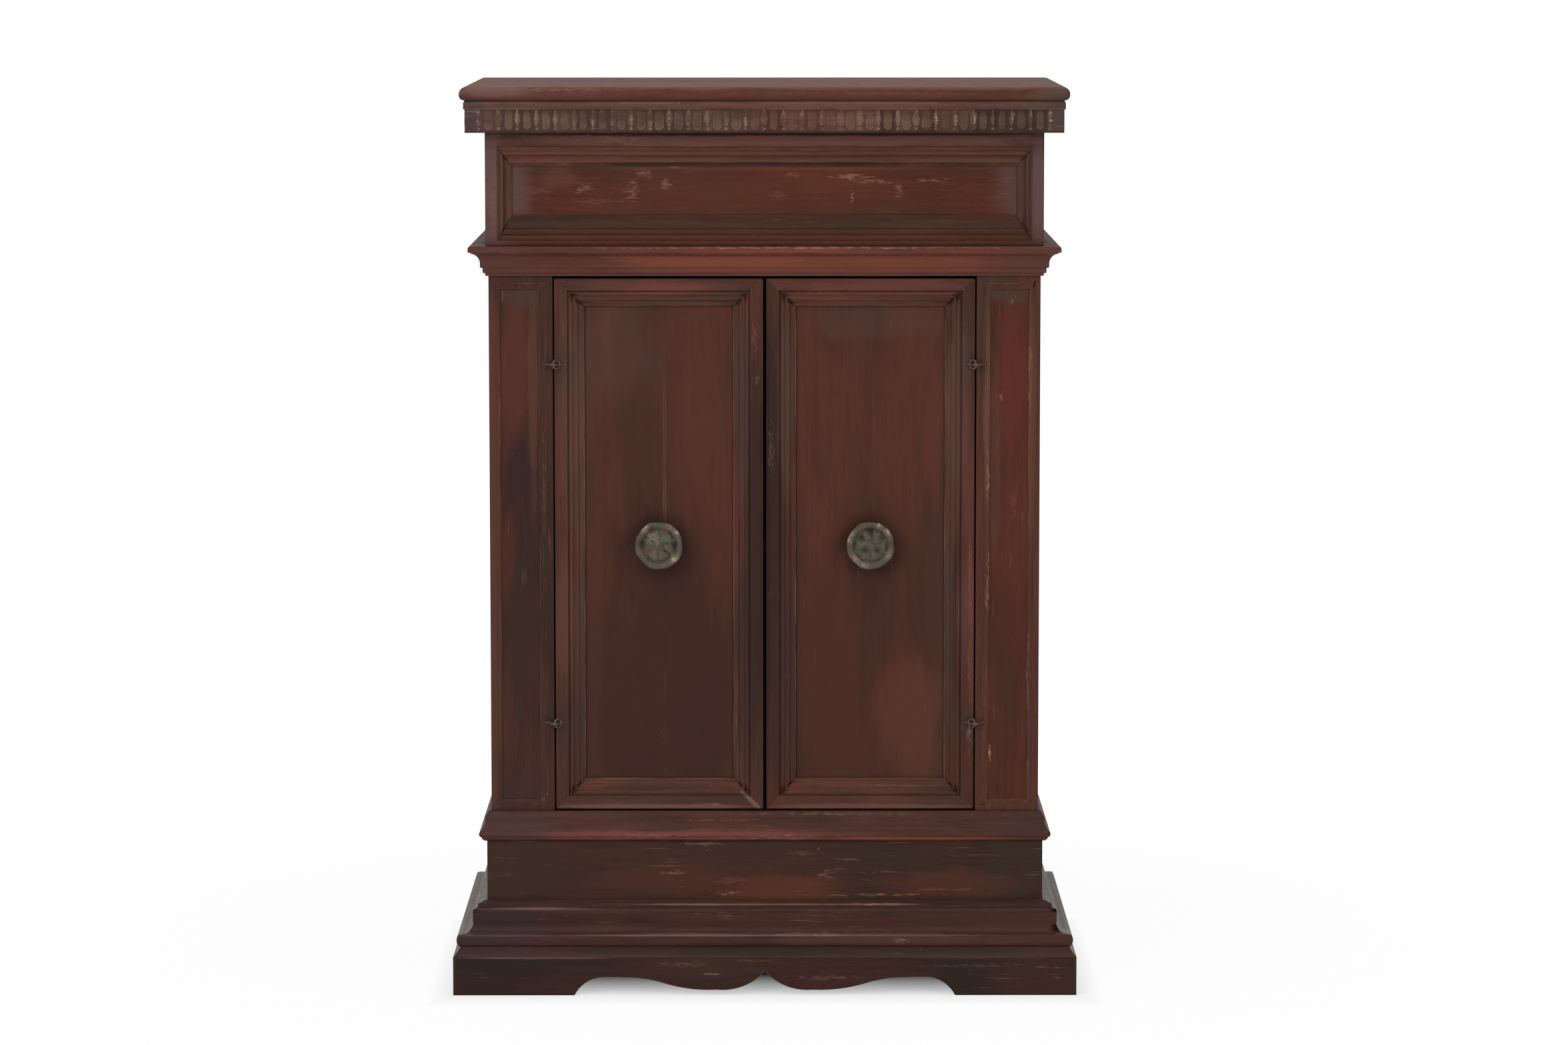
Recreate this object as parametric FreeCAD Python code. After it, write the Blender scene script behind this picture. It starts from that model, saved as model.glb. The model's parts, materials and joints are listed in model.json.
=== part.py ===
import FreeCAD, Part

import math
import os

os.makedirs("parts", exist_ok=True)
V = FreeCAD.Vector

# A small walnut side cupboard: a plinth on a scalloped apron, a body with two framed doors between
# pilasters, a cornice, a frieze with a sunk field and a fluted band under the top board.
# Millimetres, +Z up, the front faces -Y, and the origin is on the floor under the middle.

# Heights of the tiers, from the floor up
apron_height = 43.0
base_moulding_height = 58.0
plinth_reveal = 66.0
lower_moulding_height = 33.0
door_zone_height = 593.0
cornice_height = 33.0
frieze_reveal = 124.0
fluted_band_height = 35.0
top_thickness = 15.0

# Plan of the body, without its mouldings
body_width = 605.0
body_depth = 358.5

# How far each tier stands out past the body, at the front and at both sides
apron_projection = 41.5
base_moulding_projection = 41.0
plinth_projection = 5.0
lower_moulding_projection = 13.5
cornice_projection = 21.5
frieze_projection = 3.0
fluted_band_projection = 25.5
top_projection = 29.5

# Boards
side_thickness = 20.0
back_thickness = 14.0
back_board_gap = 0.6
plinth_thickness = 20.0
plinth_back_thickness = 20.0
apron_thickness = 22.0
front_frame_thickness = 20.0
pilaster_width = 70.0
floor_thickness = 18.0
floor_housing_depth = 6.0
top_rail_height = 26.0
top_rail_thickness = 20.0

# Shelf, its cleats and the stop that the doors close against
shelf_above_floor = 300.0
shelf_thickness = 18.0
shelf_set_back = 12.0
shelf_play = 0.4
cleat_height = 22.0
cleat_thickness = 18.0
stop_drop = 17.0
stop_thickness = 18.0

# Doors
door_gap_hinge = 1.5
door_gap_top = 3.0
door_gap_bottom = 1.5
door_gap_middle = 3.0
door_stop_play = 0.5
door_stile_width = 33.0
door_top_rail_width = 30.5
door_bottom_rail_width = 34.0
door_arris = 1.2
door_lip_depth = 5.4
panel_recess = 7.8
panel_thickness = 8.0
panel_play = 0.2
panel_tongue_play = 0.8
left_panel_joint_from_centre = 6.2
left_panel_joint_gap = 0.4

# Frieze field and the mouldings round it
frieze_band_side = 13.0
frieze_band_top = 16.0
frieze_band_bottom = 6.0
frieze_moulding_side = 16.0
frieze_moulding_top = 21.0
frieze_moulding_bottom = 27.0
frieze_field_depth = 9.0

# Frame strips planted on the pilasters
strip_outer_width = 13.0
strip_inner_width = 15.0
strip_top_width = 16.0
strip_bottom_width = 12.5
strip_thickness = 3.2

# Flutes of the carved band
flute_pitch = 21.0
flute_depth = 3.0
flute_radius = 8.5
flute_foot = 3.5
flute_rise = 14.0

# Scalloped apron and its feet
foot_length_front = 134.0
scallop_height = 20.5
cusp_height = 26.5
side_foot_length = 110.0
side_foot_curve = 26.0
side_arch_height = 18.0
corner_block_side = 45.0

# Rosette knobs
knob_above_door_foot = 295.5
knob_radius = 26.8
knob_lobes = 8
knob_lobe_depth = 1.5
knob_reach = 30.0
knob_collar_radius = 8.5
knob_collar_height = 2.6
knob_neck_radius = 5.0
knob_tail_radius = 3.0
knob_tail_play = 0.1
flower_radius = 13.0
flower_petals = 6
flower_petal_depth = 1.2
flower_edge_height = 2.0
flower_sink = 1.0
nut_side = 13.0
nut_thickness = 5.0
nut_stand_in = 1.0

# Interlocked wrought-iron eyes, two to a door
hinge_below_door_top = 94.0
hinge_above_door_foot = 97.0
hinge_standoff = 8.5
eye_radius = 4.6
eye_wire_radius = 1.4
shank_radius = 1.7
shank_play = 0.15
clench_radius = 1.3
clench_length = 13.0

# Nails of the back boards
nail_radius = 1.6
nail_head_radius = 4.0
nail_head_thickness = 1.2
nail_bite = 12.0
nail_play = 0.1

# Allowance by which a cutting shape runs past what it cuts
overrun = 5.0

# Points nearer than this are one point
same_point = 0.0001

# Levels and planes that follow from the sizes above
z_base = apron_height
z_plinth = z_base + base_moulding_height
z_waist = z_plinth + plinth_reveal
z_floor = z_waist + lower_moulding_height
z_cornice = z_floor + door_zone_height
z_frieze = z_cornice + cornice_height
z_band = z_frieze + frieze_reveal
z_top = z_band + fluted_band_height
z_total = z_top + top_thickness

depth_over_all = body_depth + apron_projection
y_back = depth_over_all / 2
y_body = y_back - body_depth
y_frame_back = y_body + front_frame_thickness
y_back_boards = y_back - back_thickness
x_body = body_width / 2
x_inside = x_body - side_thickness
x_opening = x_body - pilaster_width
door_thickness = front_frame_thickness - door_stop_play
shelf_top = z_floor + shelf_above_floor

# Sections of the mouldings as shares: (out, up) of the projection and of the height.
# A pair of pairs is an arc, through the first to the second.
base_moulding_shares = [
    (0.0, 0.0),
    (1.0, 0.0),
    (0.84, 0.13),
    (0.80, 0.17),
    ((0.905, 0.28), (0.86, 0.41)),
    (0.74, 0.42),
    ((0.52, 0.45), (0.43, 0.62)),
    (0.43, 0.78),
    ((0.37, 0.86), (0.28, 0.87)),
    (0.27, 0.95),
    (0.06, 1.0),
    (0.0, 1.0),
]
lower_moulding_shares = [
    (0.0, 0.0),
    (0.38, 0.0),
    ((0.62, 0.03), (0.80, 0.14)),
    ((1.0, 0.25), (0.84, 0.36)),
    ((0.64, 0.49), (0.52, 0.68)),
    ((0.44, 0.85), (0.28, 0.96)),
    (0.24, 1.0),
    (0.0, 1.0),
]
cornice_shares = [
    (0.0, 0.0),
    (0.15, 0.0),
    (0.15, 0.08),
    (0.28, 0.11),
    (0.28, 0.26),
    (0.41, 0.29),
    (0.41, 0.43),
    ((0.56, 0.66), (0.85, 0.76)),
    (0.88, 0.80),
    (1.0, 0.80),
    (1.0, 0.95),
    (0.93, 1.0),
    (0.0, 1.0),
]
fluted_band_shares = [
    (0.0, 0.0),
    (0.92, 0.0),
    (0.94, 0.04),
    (0.94, 0.72),
    (1.0, 0.77),
    (1.0, 0.93),
    (0.94, 1.0),
    (0.0, 1.0),
]
top_nosing_shares = [
    (0.0, 0.0),
    (0.90, 0.0),
    ((0.97, 0.12), (1.0, 0.36)),
    (1.0, 0.50),
    ((0.96, 0.85), (0.86, 1.0)),
    (0.0, 1.0),
]

# Moulded inner part of a frame member as shares: (across, in) of its width and of its sink.
# Plain band, quirk, bead, fillet, hollow, lip.
door_section_shares = [
    (0.43, 0.0),
    (0.435, 0.30),
    (0.47, 0.30),
    ((0.55, 0.03), (0.63, 0.30)),
    (0.635, 0.42),
    (0.69, 0.42),
    ((0.75, 0.36), (0.80, 0.58)),
    ((0.86, 0.88), (0.96, 1.0)),
    (1.0, 1.0),
]
frieze_section_shares = [
    (0.0, 0.0),
    (0.10, 0.0),
    (0.12, 0.14),
    (0.20, 0.14),
    ((0.34, 0.02), (0.46, 0.24)),
    (0.48, 0.34),
    ((0.62, 0.62), (0.90, 0.78)),
    (1.0, 0.80),
    (1.0, 1.0),
    (0.0, 1.0),
]
strip_section_shares = [
    (0.0, 0.0),
    (0.56, 0.0),
    (0.58, 0.28),
    (0.66, 0.28),
    ((0.82, 0.34), (1.0, 0.80)),
    (1.0, 1.0),
    (0.0, 1.0),
]

# Right half of the front apron's lower edge as shares: (along, up) of the half span between the
# feet and of the scallop's height. Cusp in the middle, lobe, flat arch, foot.
scallop_shares = [
    ((0.075, 0.68), (0.25, 0.30)),
    ((0.39, 0.35), (0.515, 0.61)),
    ((0.61, 0.86), (0.74, 0.98)),
    (0.85, 1.0),
    ((0.945, 0.66), (1.0, 0.0)),
]

# Knob section as shares: (radius, height) of the rim's radius and of the reach off the panel.
knob_back_shares = [
    ((0.26, 0.55), (0.60, 0.66)),
    ((0.84, 0.69), (1.0, 0.74)),
]
knob_front_shares = [
    (1.0, 0.82),
    ((0.92, 0.88), (0.82, 0.81)),
    (0.70, 0.77),
    (0.0, 0.77),
]

# Flower section as shares: (radius, height) of its radius and of its rise to the knob's reach.
flower_shares = [
    (1.0, 0.0),
    (0.72, 0.62),
    (0.28, 1.0),
    (0.0, 1.0),
]


def box(x0, x1, y0, y1, z0, z1):
    """A board between two corners."""
    return Part.makeBox(x1 - x0, y1 - y0, z1 - z0, V(x0, y0, z0))


def outline(steps, place):
    """A closed face: a point is a straight run, a pair of points is an arc through the first."""
    start = place(*steps[0])
    here = start
    edges = []
    for step in steps[1:]:
        if isinstance(step[0], tuple):
            through = place(*step[0])
            end = place(*step[1])
            edges.append(Part.Arc(here, through, end).toShape())
        else:
            end = place(*step)
            edges.append(Part.LineSegment(here, end).toShape())
        here = end
    if here.distanceToPoint(start) > same_point:
        edges.append(Part.LineSegment(here, start).toShape())
    return Part.Face(Part.Wire(edges))


def sized(shares, wide, tall, wide_from=0.0, tall_from=0.0):
    """Steps in real lengths from a table of shares."""

    def point(pair):
        return (wide_from + wide * pair[0], tall_from + tall * pair[1])

    steps = []
    for share in shares:
        if isinstance(share[0], tuple):
            steps.append((point(share[0]), point(share[1])))
        else:
            steps.append(point(share))
    return steps


def flat_prism(corners, z0, z1):
    """An upright prism on a plan of (x, y) corners."""
    return outline(corners, lambda x, y: V(x, y, z0)).extrude(V(0, 0, z1 - z0))


def face_prism(corners, y0, y1):
    """A prism on an elevation of (x, z) corners, through the thickness y0 to y1."""
    return outline(corners, lambda x, z: V(x, y0, z)).extrude(V(0, y1 - y0, 0))


def only_solid(shape):
    """The one solid of a result, with split faces joined."""
    return shape.removeSplitter().Solids[0]


def mirrored(shape):
    """The same piece on the other side of the middle."""
    return shape.mirror(V(0, 0, 0), V(1, 0, 0))


def save(name, *solids):
    """One file for a node: a single solid, or a group of separate ones."""
    shape = solids[0] if len(solids) == 1 else Part.makeCompound(list(solids))
    shape.exportStep("parts/" + name + ".step")


def mitred_run(steps):
    """One section run along the front and both sides, mitred at the front corners.

    The steps are (out from the body's face, height). Returns front, left and right.
    """
    points = [point for step in steps for point in (step if isinstance(step[0], tuple) else (step,))]
    out_far = max(out for out, z in points) + overrun
    out_near = min(out for out, z in points) - overrun
    z_low = min(z for out, z in points) - overrun
    z_high = max(z for out, z in points) + overrun
    half = x_body + out_far
    front = outline(steps, lambda out, z: V(-half, y_body - out, z)).extrude(V(half + half, 0, 0))
    front_plan = [
        (-half, y_body - out_far),
        (half, y_body - out_far),
        (x_body + out_near, y_body - out_near),
        (-x_body - out_near, y_body - out_near),
    ]
    right_length = y_back - y_body + out_far
    right = outline(steps, lambda out, z: V(x_body + out, y_body - out_far, z))
    right = right.extrude(V(0, right_length, 0))
    right_plan = [
        (x_body + out_near, y_body - out_near),
        (half, y_body - out_far),
        (half, y_back),
        (x_body + out_near, y_back),
    ]
    front = only_solid(front.common(flat_prism(front_plan, z_low, z_high)))
    right = only_solid(right.common(flat_prism(right_plan, z_low, z_high)))
    return front, mirrored(right), right


def mitred_frame(x0, x1, z0, z1, widths, section, y_face):
    """Four members round a rectangle, mitred from outer to inner corners.

    widths are left, right, bottom, top, and section(width) gives steps (across, depth in).
    """
    left, right, bottom, top = widths
    outer = [(x0, z0), (x1, z0), (x1, z1), (x0, z1)]
    inner = [(x0 + left, z0 + bottom), (x1 - right, z0 + bottom)]
    inner += [(x1 - right, z1 - top), (x0 + left, z1 - top)]
    along_x = V(x1 - x0, 0, 0)
    along_z = V(0, 0, z1 - z0)
    prisms = [
        outline(section(bottom), lambda u, w: V(x0, y_face + w, z0 + u)).extrude(along_x),
        outline(section(right), lambda u, w: V(x1 - u, y_face + w, z0)).extrude(along_z),
        outline(section(top), lambda u, w: V(x0, y_face + w, z1 - u)).extrude(along_x),
        outline(section(left), lambda u, w: V(x0 + u, y_face + w, z0)).extrude(along_z),
    ]
    members = []
    for i, prism in enumerate(prisms):
        j = (i + 1) % len(prisms)
        corners = [outer[i], outer[j], inner[j], inner[i]]
        bounds = prism.BoundBox
        cutter = face_prism(corners, bounds.YMin - overrun, bounds.YMax + overrun)
        members.append(only_solid(prism.common(cutter)))
    return members


# Top board

def nosed_slab():
    """A slab whose nosing turns the front corners with a mitre."""
    nosing = top_projection * 2
    inner = top_projection - nosing
    steps = [(inner, z_top)]
    steps += sized(top_nosing_shares, nosing, top_thickness, inner, z_top)[1:-1]
    steps.append((inner, z_total))
    front, left, right = mitred_run(steps)
    middle = box(-x_body - inner, x_body + inner, y_body - inner, y_back, z_top, z_total)
    return only_solid(middle.fuse([front, left, right]))


save("top_board", nosed_slab())


# Fluted band under the top

def flute(x, y):
    """The round-headed cutter of one flute, with its axis in front of the band's face."""
    head = z_band + flute_foot + flute_rise
    shaft = Part.makeCylinder(flute_radius, flute_rise, V(x, y, z_band + flute_foot))
    return shaft.fuse(Part.makeSphere(flute_radius, V(x, y, head)))


def flute_places(length):
    """Even places along a length, nearest to the wished pitch."""
    count = max(1, round(length / flute_pitch))
    step = length / count
    return [step / 2 + i * step for i in range(count)]


frieze_block = box(
    -x_body - frieze_projection,
    x_body + frieze_projection,
    y_body - frieze_projection,
    y_frame_back,
    z_frieze,
    z_top,
)
band_steps = sized(fluted_band_shares, fluted_band_projection, fluted_band_height, tall_from=z_band)
band_front, band_left, band_right = mitred_run(band_steps)
flute_face_share = fluted_band_shares[3][0]
flute_face = fluted_band_projection * flute_face_share
flute_axis = flute_face + flute_radius - flute_depth
front_start = -x_body - flute_face
front_flutes = [
    flute(front_start + place, y_body - flute_axis) for place in flute_places(2 * (x_body + flute_face))
]
side_start = y_body - flute_face
side_flutes = [
    flute(x_body + flute_axis, side_start + place) for place in flute_places(y_back - side_start)
]
band_front = only_solid(band_front.cut(frieze_block).cut(front_flutes))
band_right = only_solid(band_right.cut(frieze_block).cut(side_flutes))
save("fluted_band_front", band_front)
save("fluted_band_left", mirrored(band_right))
save("fluted_band_right", band_right)


# Frieze board with its sunk field, and the mouldings round the field

frieze_x = x_body + frieze_projection - frieze_band_side
frieze_z0 = z_frieze + frieze_band_bottom
frieze_z1 = z_band - frieze_band_top
y_frieze = y_body - frieze_projection
frieze_sink = box(
    -frieze_x, frieze_x, y_frieze - overrun, y_frieze + frieze_field_depth, frieze_z0, frieze_z1
)
save("frieze_board", only_solid(frieze_block.cut(frieze_sink)))


def frieze_section(width):
    """Bead and long hollow that fall to the field."""
    return sized(frieze_section_shares, width, frieze_field_depth)


frieze_widths = (frieze_moulding_side, frieze_moulding_side, frieze_moulding_bottom, frieze_moulding_top)
frieze_members = mitred_frame(
    -frieze_x, frieze_x, frieze_z0, frieze_z1, frieze_widths, frieze_section, y_frieze
)
for place, member in zip(("bottom", "right", "top", "left"), frieze_members):
    save("frieze_moulding_" + place, member)


# Cornice, lower moulding, base moulding, plinth and apron

def save_run(name, pieces):
    """The front, left and right lengths of one run."""
    for place, piece in zip(("front", "left", "right"), pieces):
        save(name + "_" + place, piece)


cornice_steps = sized(cornice_shares, cornice_projection, cornice_height, tall_from=z_cornice)
save_run("cornice", mitred_run(cornice_steps))

lower_steps = sized(
    lower_moulding_shares, lower_moulding_projection, lower_moulding_height, tall_from=z_waist
)
save_run("lower_moulding", mitred_run(lower_steps))

base_steps = sized(
    base_moulding_shares,
    base_moulding_projection - plinth_projection,
    base_moulding_height,
    plinth_projection,
    z_base,
)
save_run("base_moulding", mitred_run(base_steps))

plinth_inner = plinth_projection - plinth_thickness
plinth_steps = [
    (plinth_inner, z_base),
    (plinth_projection, z_base),
    (plinth_projection, z_waist),
    (plinth_inner, z_waist),
]
save_run("plinth", mitred_run(plinth_steps))
save("plinth_back", box(
    -x_body - plinth_inner, x_body + plinth_inner, y_back - plinth_back_thickness, y_back, z_base, z_waist
))

apron_inner = apron_projection - apron_thickness
apron_steps = [
    (apron_inner, 0.0),
    (apron_projection, 0.0),
    (apron_projection, z_base),
    (apron_inner, z_base),
]
apron_front, apron_left, apron_right = mitred_run(apron_steps)

half_span = x_body + apron_projection - foot_length_front
scallop = [(0.0, cusp_height)] + sized(scallop_shares, half_span, scallop_height)
scallop += [(half_span, -overrun), (0.0, -overrun)]
y_apron = y_body - apron_projection
scallop_right = outline(scallop, lambda x, z: V(x, y_apron - overrun, z))
scallop_right = scallop_right.extrude(V(0, apron_thickness + 2 * overrun, 0))
save("apron_front", only_solid(apron_front.cut([scallop_right, mirrored(scallop_right)])))

arch_start = y_apron + side_foot_length
arch_end = y_back - side_foot_length
curve_share = 0.7
side_arch = [
    (arch_start, -overrun),
    (arch_start, 0.0),
    (
        (arch_start + side_foot_curve * (1 - curve_share), side_arch_height * curve_share),
        (arch_start + side_foot_curve, side_arch_height),
    ),
    (arch_end - side_foot_curve, side_arch_height),
    (
        (arch_end - side_foot_curve * (1 - curve_share), side_arch_height * curve_share),
        (arch_end, 0.0),
    ),
    (arch_end, -overrun),
]
side_cut = outline(side_arch, lambda y, z: V(x_body + apron_inner - overrun, y, z))
side_cut = side_cut.extrude(V(apron_thickness + 2 * overrun, 0, 0))
apron_right = only_solid(apron_right.cut(side_cut))
save("apron_left", mirrored(apron_right))
save("apron_right", apron_right)

# Corner blocks behind the feet, which carry the plinth
block_x = x_body + apron_inner
block_y = y_body - apron_inner
blocks = []
for y0 in (block_y, y_back - corner_block_side):
    block = box(block_x - corner_block_side, block_x, y0, y0 + corner_block_side, 0.0, z_base)
    blocks += [block, mirrored(block)]
save("corner_blocks", *blocks)


# Back boards and their nails

back_board_names = ("back_board_right", "back_board_middle", "back_board_left")
back_board_step = (2 * x_inside + back_board_gap) / len(back_board_names)
back_board_width = back_board_step - back_board_gap
back_board_lefts = [x_inside - back_board_width - i * back_board_step for i in range(len(back_board_names))]
nail_edge_share = 0.16
nail_rows = (z_floor - floor_thickness / 2, z_top - top_rail_height / 2)
nail_places = [
    (left + back_board_width * share, z)
    for left in back_board_lefts
    for share in (nail_edge_share, 1 - nail_edge_share)
    for z in nail_rows
]


def nail(x, z, play):
    """A cut nail driven through the back, its head sunk flush; play widens it to its hole."""
    shank_length = back_thickness + nail_bite + play
    shank = Part.makeCylinder(nail_radius + play, shank_length, V(x, y_back, z), V(0, -1, 0))
    head_length = nail_head_thickness + play
    head = Part.makeCylinder(nail_head_radius + play, head_length, V(x, y_back, z), V(0, -1, 0))
    return only_solid(shank.fuse(head))


nail_holes = [nail(x, z, nail_play) for x, z in nail_places]
save("back_nails", *[nail(x, z, 0.0) for x, z in nail_places])
for name, left in zip(back_board_names, back_board_lefts):
    board = box(left, left + back_board_width, y_back_boards, y_back, z_waist, z_top)
    save(name, only_solid(board.cut(nail_holes)))


# Sides, floor, rails, shelf and door stop

side_right = box(x_inside, x_body, y_frame_back, y_back, z_waist, z_top)
floor_end = x_inside + floor_housing_depth
floor_board = box(-floor_end, floor_end, y_frame_back, y_back_boards, z_floor - floor_thickness, z_floor)
side_right = only_solid(side_right.cut(floor_board))
save("side_left", mirrored(side_right))
save("side_right", side_right)
save("floor_board", only_solid(floor_board.cut(nail_holes)))
save("lower_rail", box(-x_opening, x_opening, y_body, y_frame_back, z_waist, z_floor))
save("upper_rail", box(-x_opening, x_opening, y_body, y_frame_back, z_cornice, z_frieze))
y_top_rail = y_back_boards - top_rail_thickness
top_rail = box(-x_inside, x_inside, y_top_rail, y_back_boards, z_top - top_rail_height, z_top)
save("top_rail", only_solid(top_rail.cut(nail_holes)))
save("door_stop", box(
    -x_opening, x_opening, y_frame_back, y_frame_back + stop_thickness, z_cornice - stop_drop, z_frieze
))

y_shelf = y_frame_back + shelf_set_back
shelf_half = x_inside - shelf_play
cleat_top = shelf_top - shelf_thickness
save("shelf", box(-shelf_half, shelf_half, y_shelf, y_back_boards, cleat_top, shelf_top))
cleat = box(x_inside - cleat_thickness, x_inside, y_shelf, y_back_boards, cleat_top - cleat_height, cleat_top)
save("shelf_cleats", mirrored(cleat), cleat)


# Hinges: a lying eye in the pilaster, and an upright eye in the door whose wire passes through it

door_foot = z_floor + door_gap_bottom
door_head = z_cornice - door_gap_top
door_hinge_edge = x_opening - door_gap_hinge
door_free_edge = door_gap_middle / 2
hinge_axis_x = x_opening - door_gap_hinge / 2
hinge_axis_y = y_body - hinge_standoff
hinge_heights = (door_foot + hinge_above_door_foot, door_head - hinge_below_door_top)
slant_share = math.sqrt(0.5)


def shank_line(side, distance):
    """A point at a distance from the hinge axis, back into the wood at half a right angle."""
    return V(hinge_axis_x + side * distance * slant_share, hinge_axis_y + distance * slant_share, 0)


def shank(side, z, start, radius, end_plane):
    """The straight shank of an eye, from near its ring to a plane behind the wood."""
    end = (end_plane - hinge_axis_y) / slant_share
    foot = shank_line(side, start) + V(0, 0, z)
    direction = V(side * slant_share, slant_share, 0)
    return Part.makeCylinder(radius, end - start, foot, direction)


def eye(side, z, standing):
    """One wrought eye: ring, shank through the wood, and two clenched points behind."""
    clench_y = y_frame_back + clench_radius + shank_play
    if standing:
        centre = shank_line(side, eye_radius) + V(0, 0, z)
        ring = Part.makeTorus(eye_radius, eye_wire_radius, centre, V(slant_share, -side * slant_share, 0))
        start = 2 * eye_radius
    else:
        centre = V(hinge_axis_x, hinge_axis_y, z)
        ring = Part.makeTorus(eye_radius, eye_wire_radius, centre, V(0, 0, 1))
        start = eye_radius
    stem = shank(side, z, start, shank_radius, clench_y)
    bend = shank_line(side, (clench_y - hinge_axis_y) / slant_share) + V(0, 0, z)
    knuckle = Part.makeSphere(shank_radius, bend)
    points = Part.makeCylinder(clench_radius, 2 * clench_length, bend - V(0, 0, clench_length))
    return ring.fuse([stem, knuckle, points]).Solids[0]


def shank_hole(side, z):
    """The hole that a shank fills, clear of it by its play."""
    return shank(side, z, 0.0, shank_radius + shank_play, y_frame_back + overrun)


frame_holes = [shank_hole(1, z) for z in hinge_heights]
door_holes = [shank_hole(-1, z) for z in hinge_heights]
frame_eyes = [eye(1, z, False) for z in hinge_heights]
door_eyes = [eye(-1, z, True) for z in hinge_heights]
save("frame_hinge_eyes", *[mirrored(piece) for piece in frame_eyes], *frame_eyes)
save("left_door_hinge_eyes", *[mirrored(piece) for piece in door_eyes])
save("right_door_hinge_eyes", *door_eyes)


# Pilasters, rebated for their frame strips between cornice and lower moulding

pilaster = box(x_opening, x_body, y_body, y_frame_back, z_waist, z_frieze)
y_strip_back = y_body + strip_thickness
rebate = box(x_opening - overrun, x_body + overrun, y_body - overrun, y_strip_back, z_floor, z_cornice)
pilaster = only_solid(pilaster.cut([rebate] + frame_holes))
save("pilaster_left", mirrored(pilaster))
save("pilaster_right", pilaster)


def strip_section(width):
    """A flat strip with a sunk quirk and a small ogee to the field."""
    return sized(strip_section_shares, width, strip_thickness)


strip_widths = (strip_inner_width, strip_outer_width, strip_bottom_width, strip_top_width)
strips = mitred_frame(x_opening, x_body, z_floor, z_cornice, strip_widths, strip_section, y_body)
strips = [only_solid(strip.cut(frame_holes)) for strip in strips]
save("pilaster_moulding_left", *[mirrored(strip) for strip in strips])
save("pilaster_moulding_right", *strips)


# Doors

panel_slot = panel_thickness + 2 * panel_play
slot_share = 0.80


def door_section(width):
    """Plain band, bead and hollow, with the panel's groove behind the lip."""
    corner = door_arris * (1 - slant_share)
    steps = [(0.0, door_arris), ((corner, corner), (door_arris, 0.0))]
    steps += sized(door_section_shares, width, door_lip_depth)
    slot_front = panel_recess - panel_play
    steps += [
        (width, slot_front),
        (width * slot_share, slot_front),
        (width * slot_share, slot_front + panel_slot),
        (width, slot_front + panel_slot),
        (width, door_thickness),
        (0.0, door_thickness),
    ]
    return steps


door_widths = (door_stile_width, door_stile_width, door_bottom_rail_width, door_top_rail_width)
door_members = mitred_frame(
    door_free_edge, door_hinge_edge, door_foot, door_head, door_widths, door_section, y_body
)
door_members = [only_solid(member.cut(door_holes)) for member in door_members]
member_names = ("rail_bottom", "stile_hinge", "rail_top", "stile_meeting")
for name, member in zip(member_names, door_members):
    save("left_door_" + name, mirrored(member))
    save("right_door_" + name, member)

panel_x0 = door_free_edge + door_stile_width * slot_share + panel_tongue_play
panel_x1 = door_hinge_edge - door_stile_width * slot_share - panel_tongue_play
panel_z0 = door_foot + door_bottom_rail_width * slot_share + panel_tongue_play
panel_z1 = door_head - door_top_rail_width * slot_share - panel_tongue_play
y_panel = y_body + panel_recess
y_panel_back = y_panel + panel_thickness
knob_x = (door_free_edge + door_hinge_edge) / 2
knob_z = door_foot + knob_above_door_foot
knob_bore_radius = knob_tail_radius + knob_tail_play


def panel_board(x0, x1, knob_at):
    """A flat panel board, bored for the knob's tail."""
    board = box(x0, x1, y_panel, y_panel_back, panel_z0, panel_z1)
    bore_start = V(knob_at, y_panel - overrun, knob_z)
    bore = Part.makeCylinder(knob_bore_radius, panel_thickness + 2 * overrun, bore_start, V(0, 1, 0))
    return only_solid(board.cut(bore))


joint_x = -knob_x + left_panel_joint_from_centre
outer_board = panel_board(-panel_x1, joint_x - left_panel_joint_gap / 2, -knob_x)
inner_board = panel_board(joint_x + left_panel_joint_gap / 2, -panel_x0, -knob_x)
save("left_door_panel", outer_board, inner_board)
save("right_door_panel", panel_board(panel_x0, panel_x1, knob_x))


# Knobs: a cast rosette on a neck, with a tail through the panel and a square nut

def lobed_prism(radius, depth, lobes, z0, z1):
    """An upright prism whose plan is a ring of equal lobes that meet in shallow valleys."""

    def on_circle(distance, turn_share):
        angle = 2 * math.pi * turn_share / lobes
        return (distance * math.cos(angle), distance * math.sin(angle))

    valley = radius - depth
    half_lobe_share = 0.5
    steps = [on_circle(valley, -half_lobe_share)]
    for i in range(lobes):
        steps.append((on_circle(radius, i), on_circle(valley, i + half_lobe_share)))
    return flat_prism(steps, z0, z1)


def turned_solid(steps):
    """A solid turned about the knob's axis from points given as radius and height."""
    return outline(steps, lambda r, h: V(r, 0, h)).revolve(V(0, 0, 0), V(0, 0, 1), 360)


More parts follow.
